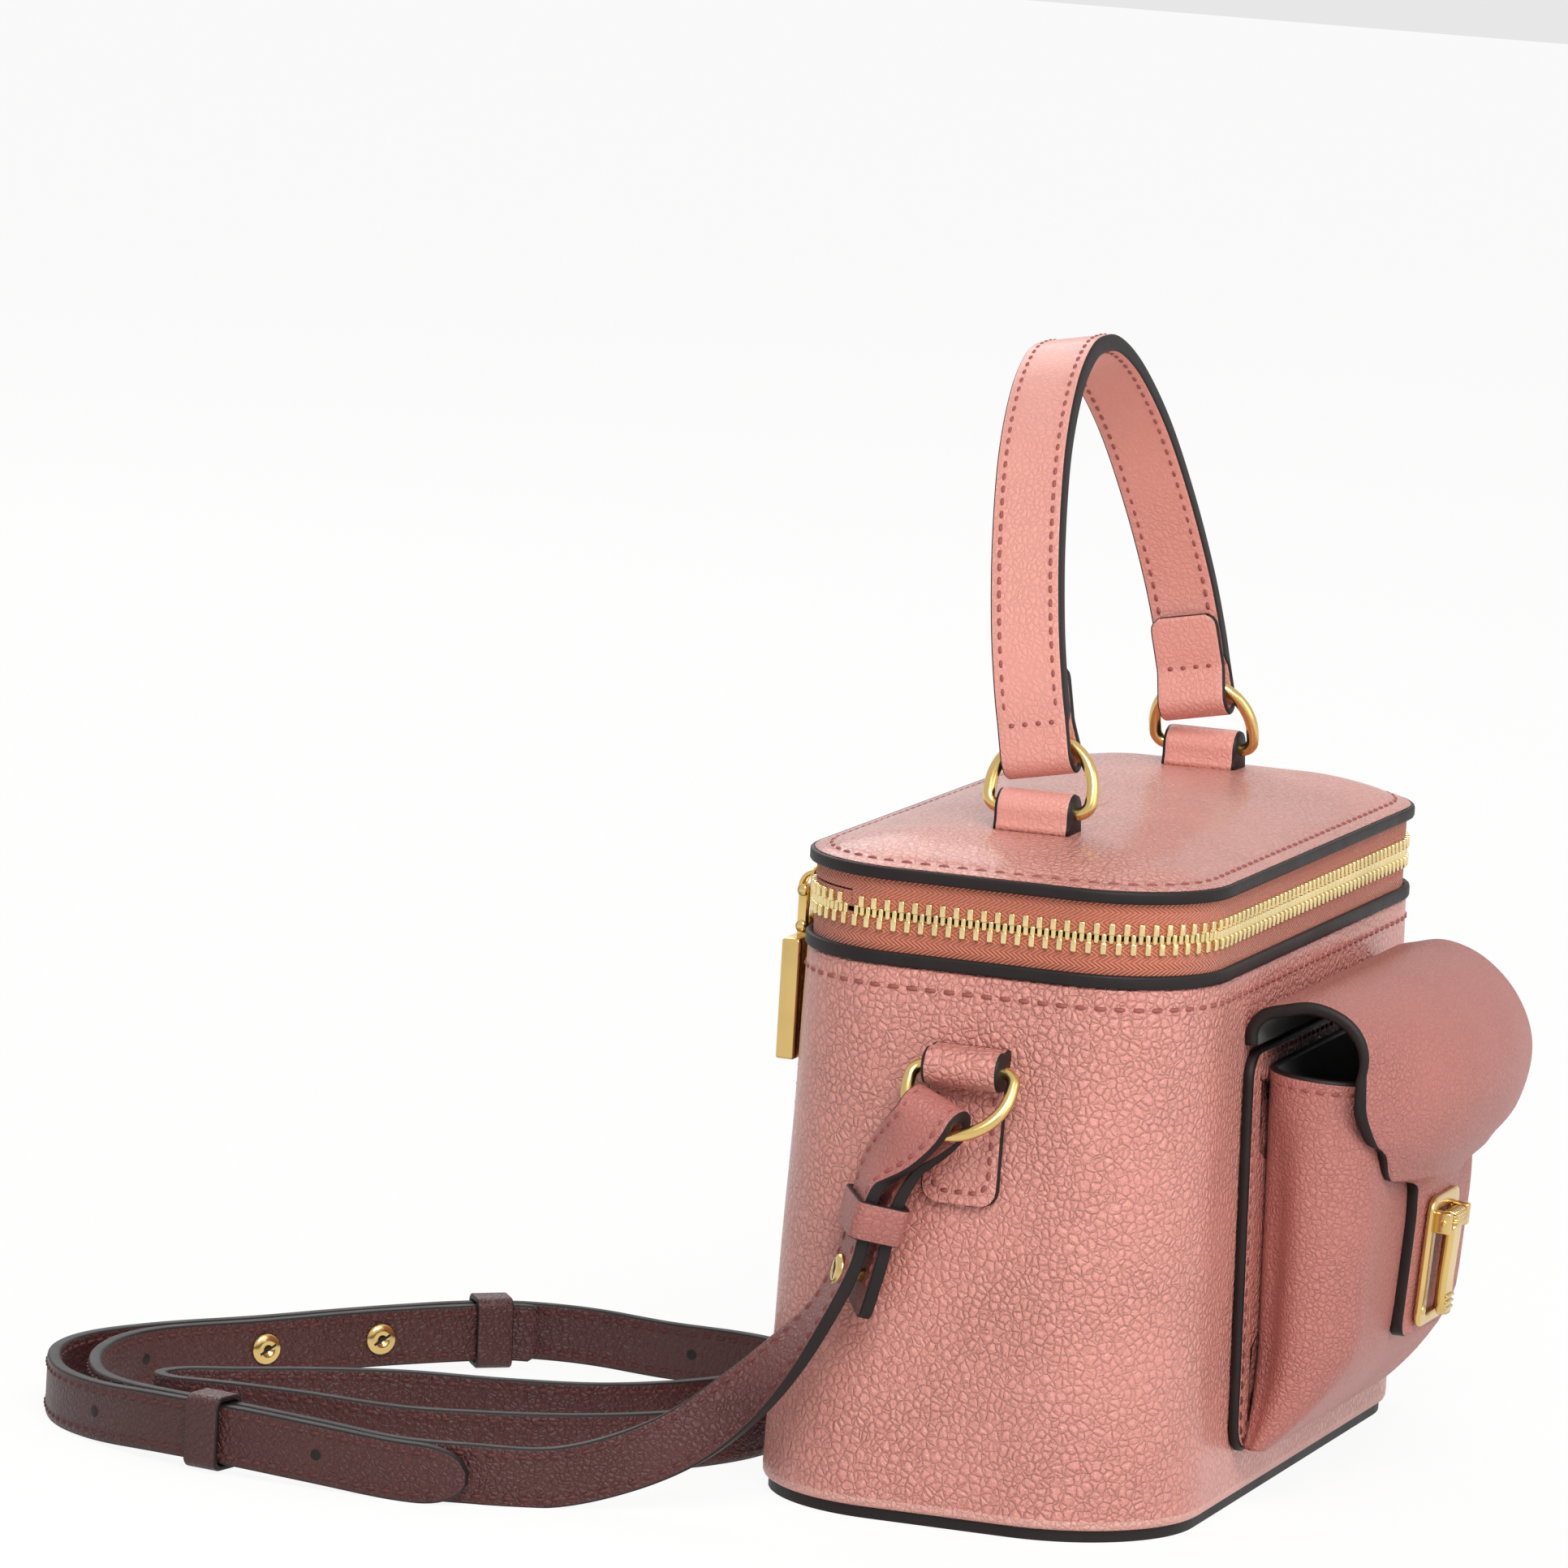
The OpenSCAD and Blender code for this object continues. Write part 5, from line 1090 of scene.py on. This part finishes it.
claspPiece = {"width": 19.0, "height": 26.0, "thick": 1.2, "windowWidth": 10.4, "windowHigh": 21.0, "foot": 21.1,
              "pinH": 42.1, "lever": 19.0, "leverWidth": 6.0, "earX": 6.3,
              "rivet": 1.15, "rivetX": 7.4, "rivetUp": 3.4,
              "catchH": 34.1, "pin": (7.5, 0.7), "barrel": (4.0, 2.0), "ridge": (2.4, 0.34),
              "ridgeHeights": (24.4, 25.6, 26.8)}
plateBack = tongueY - flapPiece["thick"] / 2 - 0.15
pinY = plateBack - claspPiece["thick"] - 1.7
turnSpot = Vector((0, plateBack, pocketPiece["leanFrom"] - 3))
claspFrame = frontFrame @ Matrix.Translation(turnSpot) @ Matrix.Rotation(
    np.radians(pocketPiece["lean"]), 4, "X") @ Matrix.Translation(-turnSpot)


def uprightLoop(halfL, halfH, radius):
    # rounded outline in the XZ plane about the origin, anticlockwise
    return roundedOutline(halfL, halfH, radius, corner=8, along=12, deep=14)


def frontPlate():
    # frame with a window: outer and inner loops matched point for point, bevelled on both sides
    outer = uprightLoop(claspPiece["width"] / 2, claspPiece["height"] / 2, 3.0)
    inner = uprightLoop(claspPiece["windowWidth"] / 2, claspPiece["windowHigh"] / 2, 1.2)
    centre = claspPiece["foot"] + claspPiece["height"] / 2
    lift = claspPiece["foot"] + 2 + claspPiece["windowHigh"] / 2 - centre
    top = -claspPiece["thick"]
    levels = [(0.0, 0.15, 0), (-0.15, 0.0, 0), (top + 0.4, 0.0, 0), (top + 0.1, 0.12, 0), (top, 0.45, 0),
              (top, 0.35, 1), (top + 0.1, 0.1, 1), (top + 0.3, 0.0, 1), (0.0, 0.0, 1)]
    rows = []
    for y, d, inside in levels:
        loop = inner * (1 + d / 8) + [0, lift] if inside else outer - outlineNormals(outer) * d
        rows.append(np.column_stack([loop[:, 0], np.full(len(loop), plateBack + y), loop[:, 1] + centre]))
    return (*closedShape(placed(np.stack(rows), claspFrame), True), 0)


def alongX(size, y, h, edge=0.2, sides=24):
    # round bar along X with softened ends, in the clasp's frame; size is half its length and its radius
    reach, radius = size
    length, soft = 2 * reach, edge * 0.3
    profile = [(0.001, 0), (radius - edge, 0), (radius - soft, soft), (radius, edge), (radius, length - edge),
               (radius - soft, length - soft), (radius - edge, length), (0.001, length)]
    return (*latheShape(profile, sides, claspFrame @ turned(-reach, y, h, "Y", np.pi / 2)), 0)


def frontBox(x, y, h, size, bevel):
    # box with softened edges in the clasp's frame
    return (*boxShape(size, bevel, claspFrame @ turned(x, y, h)), 0)


def rivet(x, h):
    # low dome on the clasp's plate
    radius = claspPiece["rivet"]
    spot = claspFrame @ turned(x, plateBack - claspPiece["thick"] + 0.05, h, "X", np.pi / 2)
    return (*latheShape([(0.001, 0.55), (radius * 0.45, 0.5), (radius * 0.85, 0.28), (radius, 0)], 16, spot), 0)


earY = plateBack - claspPiece["thick"] - 1.4
ears = [frontBox(s * claspPiece["earX"], earY, claspPiece["pinH"], (2.0, 3.4, 4.4), 0.5) for s in (-1, 1)]
rivets = [rivet(s * claspPiece["rivetX"], claspPiece["foot"] + claspPiece["rivetUp"]) for s in (-1, 1)]
finishPiece(together("clasp_front_plate", [frontPlate()] + ears + rivets, [brass], "flap"),
            "gold_metal", "clasp_plate")
finishPiece(together("clasp_hinge_pin", [alongX(claspPiece["pin"], pinY, claspPiece["pinH"])], [brass], "flap"),
            "gold_metal", "clasp_pin")
barrel = alongX(claspPiece["barrel"], pinY, claspPiece["pinH"], 0.35, 36)
leverPath = np.array([[0, pinY - 0.2, claspPiece["pinH"] - 0.5], [0, pinY - 0.2, 38], [0, pinY - 0.1, 34],
                      [0, pinY, 30], [0, pinY - 0.1, 26], [0, pinY - 0.5, claspPiece["pinH"] - claspPiece["lever"]]])
leverPath = evenPath(smoothPath(leverPath, 6), 0.8)
count = np.arange(len(leverPath))[::-1] * 0.8
leverWide = claspPiece["leverWidth"] - 2.6 * (1 - np.sqrt(np.clip(1 - np.clip(1 - count / 2.6, 0, 1) ** 2, 0, 1)))
leverRings, _, _ = bandRings(leverPath, np.tile([1.0, 0, 0], (len(leverPath), 1)), leverWide, 2.0, 0.7, 8)
leverShape = closedShape(placed(leverRings, claspFrame))
catchRidge = [alongX(claspPiece["ridge"], pinY - 1.25, h, 0.1, 12) for h in claspPiece["ridgeHeights"]]
leverShapes = [(*leverShape, 0), (*barrel[:2], 1)] + catchRidge
finishPiece(together("clasp_turn_lever", leverShapes, [brass, knurledBrass], "lever"), "gold_metal", "clasp_lever")
catchSpot = claspFrame @ turned(0, plateFace - pocketPiece["depth"] - 0.3, claspPiece["catchH"], "X", np.pi / 2)
catchProfile = [(0.001, 0), (6.0, 0), (6.0, 0.3), (5.6, 0.6), (3.0, 0.6), (2.6, 0.35), (0.001, 0.35)]
finishPiece(together("clasp_catch_disc", [(*latheShape(catchProfile, 36, catchSpot), 0)], [brass], "case"),
            "gold_metal", "clasp_catch")

print("strap")
strapPiece = {"width": 11.5, "thick": 2.6, "lift": 2.0, "step": 1.3, "sinkGround": 5.75, "plyStep": 3.2,
              "turnDegrees": 24, "wave": 0.072, "stitchIn": 1.7}
upright = [0, 0, 1.0]
ringTurn = np.array([
    [-94, 16.5, 41, 0.64, 0.69, 0.34], [-94.7, 12.5, 51, 0.64, 0.69, 0.34],
    [-94.9, 8.4, 61, 0.64, 0.69, 0.34], [-94, 4.4, 69, 0.58, 0.75, 0.32],
    [-93.2, 1.2, 74.4, 0.2, 0.97, 0.1], [-93.1, 0, 78.2, 0, 1, 0], [-94.24, 0, 80.96, 0, 1, 0],
    [-97, 0, 82.1, 0, 1, 0], [-99.76, 0, 80.96, 0, 1, 0], [-100.9, 0, 78.2, 0, 1, 0],
    [-100.8, 1.8, 73.6, 0.2, 0.97, 0.1], [-98.7, 7.6, 67.2, 0.6, 0.73, 0.33],
    [-98.28, 11, 62.07, 0.64, 0.69, 0.34], [-98.08, 15.1, 52.07, 0.64, 0.69, 0.34],
    [-98.4, 22, 41, 0.6, 0.66, 0.44], [-100.4, 29, 31, 0.5, 0.6, 0.6],
    [-103.4, 37, 22, 0.3, 0.45, 0.84], [-107, 46, 14.5, 0.12, 0.2, 0.97], [-111, 57, 9, 0, 0.06, 1]])
frontPass = np.array([[-115.6, 69], [-120.6, 82.6], [-122.9, 97], [-122.5, 112.4], [-121.1, 129.4],
                      [-117, 145.6], [-109.4, 158.6], [-99.4, 168.4], [-87.4, 174.8], [-75, 177.8], [-63, 177.6],
                      [-51.9, 173.2], [-35.6, 160.6], [-17.3, 143.2], [-2.8, 124.4], [1.4, 116.4]])
outerPass = np.array([[-125, 82], [-126, 96], [-125.6, 112], [-124.2, 130], [-120, 147.4], [-112, 163],
                      [-102, 175], [-90, 182.4], [-78, 185.6], [-65, 184], [-50, 176], [-33.4, 163], [-15, 145.2],
                      [-0.2, 126], [7.6, 109], [10.6, 92], [9.6, 74], [3.4, 61], [-8, 55.6], [-22, 58.6], [-40, 68],
                      [-54, 82], [-61, 100], [-65, 118], [-73, 134], [-82, 147], [-87.4, 155.4], [-93.4, 158.4],
                      [-99, 153], [-100.4, 142], [-99.4, 126], [-96.6, 108], [-92, 92], [-84, 76], [-71, 61.6],
                      [-54, 52.4], [-36, 49.4], [-12, 49], [14, 49], [40, 49], [60, 51], [78, 55.6], [92, 60],
                      [103, 59.6]])
# the fold slides round its ring towards the back, and the hanging plies turn their edges outwards
foldTurn = np.radians(strapPiece["turnDegrees"])
foldShare = np.array([0, 0.1, 0.35, 0.75, 1, 1, 1, 1, 1, 1, 1, 0.75, 0.35, 0.1, 0, 0, 0, 0, 0])
ringCentre = np.array([-91.2, 0.0, 84.94])
for k, share in enumerate(foldShare):
    if share:
        spin = np.array(Matrix.Rotation(foldTurn * share, 3, Vector((0.84, 0, -0.545))))
        ringTurn[k, :3] = spin @ (ringTurn[k, :3] - ringCentre) + ringCentre
        ringTurn[k, 3:] = spin @ ringTurn[k, 3:]
for k in (0, 1, 2, 12, 13, 14):
    ringTurn[k, 3:] = [0.84, 0.5, 0.14]
ringTurn[15, 3:], ringTurn[16, 3:] = [0.66, 0.52, 0.54], [0.36, 0.44, 0.82]
for nearRow, farRow, step in ((2, 12, 5.0), (1, 13, 4.5)):  # the far ply lies one step behind the near ply
    go = ringTurn[nearRow - 1, :3] - ringTurn[nearRow + 1, :3]
    acrossPly = unitRows(np.cross(go, ringTurn[nearRow, 3:])[None])[0]
    apart = ringTurn[farRow, :3] - ringTurn[nearRow, :3]
    ringTurn[farRow, :3] = ringTurn[nearRow, :3] + acrossPly * np.sign(acrossPly @ apart) * step
keeperSpots = np.array([[-121.6, 135.5], [-1.5, 125.2]])


def onGround(points):
    # the strap stands on its edge on the ground and is lifted a little round each keeper
    away = np.linalg.norm(points[:, None] - keeperSpots[None], axis=2).min(1)
    z = strapPiece["sinkGround"] + strapPiece["lift"] * np.maximum(0, 1 - (away / 34) ** 2)
    return np.column_stack([points, z, np.tile(upright, (len(points), 1))])


farTurn = ringTurn[::-1]
farTurn = farTurn[farTurn[:, 2] > 12] * [-1, 1, 1, -1, 1, 1]
longPath = smoothPath(np.concatenate([ringTurn, onGround(frontPass)]), 3)
outerPath = smoothPath(np.concatenate([onGround(outerPass), [[107, 53, 9.4, 0, 0.1, 1]], farTurn]), 3)


def strapBand(name, path, roundTip, node):
    # leather strip along a path, stitched along both edges; its start is a long rounded tip or cut square
    fine = evenPath(smoothPath(path, 3), strapPiece["step"])
    spots, lean = fine[:, :3], fine[:, 3:]
    run = np.arange(len(fine)) * strapPiece["step"]
    wide = np.full(len(fine), strapPiece["width"])
    for flag, far in ((roundTip, run), (False, run[::-1])):
        reach, r = (11.0, 5.2) if flag else (1.2, 1.2)
        k = np.clip(1 - far / reach, 0, 1)
        wide -= 2 * r * (1 - np.sqrt(1 - k ** 2.4 * 0.97))
    rings, paint, out = bandRings(spots, lean, wide, strapPiece["thick"], 0.6, 10)
    rings = rings + out[:, None] * swell(rings, strapPiece["wave"], 5.1)[..., None]
    piece = carried(name, rings, [leather["strapLeather"], edgePaint], "case", False, paint, capMaterial=1)
    finishPiece(piece, "deep_leather", node)
    go = unitRows(np.gradient(spots, axis=0))
    across = unitRows(lean - go * np.sum(lean * go, 1, keepdims=True))
    keep = slice(4, -4)
    aside, above = (wide[:, None] / 2 - strapPiece["stitchIn"]) * across, out * (strapPiece["thick"] / 2 + 0.05)
    for side in (-1, 1):
        for face in (-1, 1):
            row = spots + side * aside + face * above
            sew("case", row[keep], (face * out)[keep], pitch=3.0, length=2.25)


# punched holes: dark discs on both faces stand for the shade inside them, painted shade
holes = []
for path, i in ((outerPath, 15), (outerPath, 10), (outerPath, 6), (outerPath, 46), (longPath, 88)):
    go = path[i + 1, :3] - path[i - 1, :3]
    facing = Vector(np.cross(go, path[i, 3:])).to_track_quat("Z", "Y").to_matrix().to_4x4()
    reach = strapPiece["thick"] / 2 + 0.07
    profile = [(0.001, -reach), (1.05, -reach), (1.15, -reach + 0.05), (1.15, reach - 0.05), (1.05, reach),
               (0.001, reach)]
    holes.append((*latheShape(profile, 20, Matrix.Translation(path[i, :3]) @ facing), 0))
together("strap_punched_holes", holes, [edgePaint], "case")
strapBand("strap_short_leather", longPath, False, "strap_inner")
strapBand("strap_long_leather", outerPath, True, "strap_outer")


def onPlies(i, other, j, right=False):
    # frame halfway between two plies: X along, Y across, Z out
    p = (longPath[i, :3] + other[j, :3]) / 2
    x = unitRows((longPath[i + 1, :3] - longPath[i - 1, :3])[None])[0]
    y = longPath[i, 3:] - x * np.dot(longPath[i, 3:], x)
    y /= np.linalg.norm(y)
    z = np.cross(x, y)
    matrix = Matrix([[x[0], y[0], z[0], p[0]], [x[1], y[1], z[1], p[1]], [x[2], y[2], z[2], p[2]], [0, 0, 0, 1]])
    if right:
        matrix = Matrix.Scale(-1, 4, (1, 0, 0)) @ matrix @ Matrix.Scale(-1, 4, (1, 0, 0))
    return matrix


keeperPiece = {"length": 7.4, "thick": 1.15, "clear": 0.3, "foldStep": 5.0}


def keeperShape(matrix, step):
    # leather loop round two plies, rounded at its corners
    halfW = strapPiece["width"] / 2 + keeperPiece["clear"] + keeperPiece["thick"] / 2
    halfT = (step + strapPiece["thick"]) / 2 + keeperPiece["clear"] + keeperPiece["thick"] / 2
    loop = roundedOutline(halfW, halfT, 1.5, corner=6, along=12, deep=8)
    path = np.column_stack([np.zeros(len(loop)), loop])
    section, paint = strapSection(keeperPiece["length"], keeperPiece["thick"], 0.4, 4)
    normal = outlineNormals(loop)
    rings = path[:, None] + np.stack([section[:, 0] * np.ones((len(loop), 1)), normal[:, :1] * section[:, 1],
                                      normal[:, 1:] * section[:, 1]], -1)
    return (*closedShape(placed(rings, matrix), True), np.tile(paint, len(rings)))


keeperShapes = [keeperShape(onPlies(i, outerPath, j), strapPiece["plyStep"]) for i, j in ((70, 10), (99, 39))]
keeperShapes += [keeperShape(onPlies(5, longPath, 37, right), keeperPiece["foldStep"]) for right in (False, True)]
finishPiece(together("strap_keeper_loops", keeperShapes, [leather["strapLeather"], edgePaint], "case"),
            "deep_leather", "strap_keepers")

studPiece = {"radius": 3.2, "foldStep": 4.5, "postRadius": 1.4}


def studShape(matrix, step):
    # screw stud: a slotted low dome on each side and a post between
    reach, r, post = step + strapPiece["thick"], studPiece["radius"], studPiece["postRadius"]
    shapes = []
    dome = [(0.001, 0.55), (0.9, 0.55), (1.0, 0.95), (r * 0.6, 0.92), (r * 0.86, 0.7), (r * 0.97, 0.4), (r, 0.1),
            (r, 0.0), (0.001, 0.0)]
    for face in (0, 1):
        spot = matrix @ Matrix.Rotation(np.pi * face, 4, "X") @ Matrix.Translation((0, 0, reach / 2 + 0.16))
        slotSpot = spot @ turned(0, 0, 0.72, "Z", 0.5)
        shapes += [(*latheShape(dome, 28, spot), 0), (*boxShape((3.9, 0.55, 0.5), 0.08, slotSpot), 1)]
    half = reach / 2 + 0.2
    shapes.append((*latheShape([(0.001, -half), (post, -half), (post, half), (0.001, half)], 16, matrix), 0))
    return shapes


studShapes = []
for i, j in ((93, 33), (96, 36)):
    studShapes += studShape(onPlies(i, outerPath, j), strapPiece["plyStep"])
for right in (False, True):
    studShapes += studShape(onPlies(2, longPath, 40, right), studPiece["foldStep"])
finishPiece(together("strap_screw_studs", studShapes, [brass, edgePaint], "case"), "gold_metal", "strap_studs")

print("stitches")
sewAll()

print("floor, lights and camera")
studio = {
    "floorColor": "#f6f4f2", "floorSize": 8.0, "whiteShare": 0.92, "backdrop": 1.0,
    "key": (-1.05, -0.55, 1.15), "keyPower": 20.0, "keySize": 0.8,
    "fill": (-0.35, -1.5, 0.7), "fillPower": 7.5, "fillSize": 1.2,
    "rim": (1.0, 0.9, 1.1), "rimPower": 9.0, "rimSize": 1.0, "world": 0.38,
    "target": (0.0, 0.0, 0.08),
}
view = {"place": (-1.882389, -0.581743, 0.416510), "forward": (0.93496761, 0.3237583, -0.14496938),
        "right": (0.33463934, -0.94058194, 0.05763792), "up": (0.11769483, 0.10240205, 0.98775592), "lens": 233.35}


def seenShare(tree):
    # 1 for what the camera sees, straight, in reflections or through glass; 0 for light falling on things
    rays = tree.nodes.new("ShaderNodeLightPath").outputs
    seen = Socket(tree, rays["Is Camera Ray"]).math("MAXIMUM", Socket(tree, rays["Is Glossy Ray"]))
    return seen.math("MAXIMUM", Socket(tree, rays["Is Transmission Ray"]))


def floorFinish():
    # pale matt paper; to the camera and in reflections it is mostly plain white and keeps a soft shadow
    f = Finish("pale_floor")
    f.set(**{"Base Color": linearColor(studio["floorColor"]), "Roughness": 0.95})
    white = f.tree.nodes.new("ShaderNodeEmission")
    blend = f.tree.nodes.new("ShaderNodeMixShader")
    f.tree.links.new((seenShare(f.tree) * studio["whiteShare"]).link, blend.inputs[0])
    f.tree.links.new(f.shader.outputs[0], blend.inputs[1])
    f.tree.links.new(white.outputs[0], blend.inputs[2])
    f.tree.links.new(blend.outputs[0], f.tree.nodes["Material Output"].inputs["Surface"])
    return f.material


def areaLamp(name, place, power, size):
    # square lamp that faces the middle of the case
    data = bpy.data.lights.new(name, "AREA")
    data.energy, data.size = power, size
    lamp = bpy.data.objects.new(name, data)
    lamp.location = place
    lamp.rotation_euler = (Vector(studio["target"]) - Vector(place)).to_track_quat("-Z", "Y").to_euler()
    bpy.context.collection.objects.link(lamp)


half = studio["floorSize"] * 500
floor = writeMesh("floor", np.array([[-1, -1, 0], [1, -1, 0], [1, 1, 0], [-1, 1, 0]]) * half, np.array([[0, 1, 2, 3]]),
                  [floorFinish()], fix=False, smooth=False)
for name in ("key", "fill", "rim"):
    areaLamp(name + "_softbox", studio[name], studio[name + "Power"], studio[name + "Size"])

world = bpy.data.worlds.new("studio_air")
bpy.context.scene.world = world
world.use_nodes = True
tree = world.node_tree
soft = tree.nodes["Background"]
soft.inputs["Color"].default_value = (1.0, 0.99, 0.98, 1.0)
soft.inputs["Strength"].default_value = studio["world"]
white = tree.nodes.new("ShaderNodeBackground")
white.inputs["Strength"].default_value = studio["backdrop"]
blend = tree.nodes.new("ShaderNodeMixShader")
tree.links.new(seenShare(tree).link, blend.inputs[0])
tree.links.new(soft.outputs[0], blend.inputs[1])
tree.links.new(white.outputs[0], blend.inputs[2])
tree.links.new(blend.outputs[0], tree.nodes["World Output"].inputs["Surface"])

camera = bpy.data.objects.new("camera", bpy.data.cameras.new("camera"))
lens = camera.data
lens.lens, lens.sensor_width, lens.sensor_fit = view["lens"], 36.0, "HORIZONTAL"
lens.clip_start, lens.clip_end = 0.05, 30.0
bpy.context.collection.objects.link(camera)
camera.matrix_world = Matrix.Translation(view["place"]) @ Matrix(
    (view["right"], view["up"], tuple(-x for x in view["forward"]))).transposed().to_4x4()
bpy.context.scene.camera = camera
bpy.context.scene.view_settings.view_transform = "Standard"
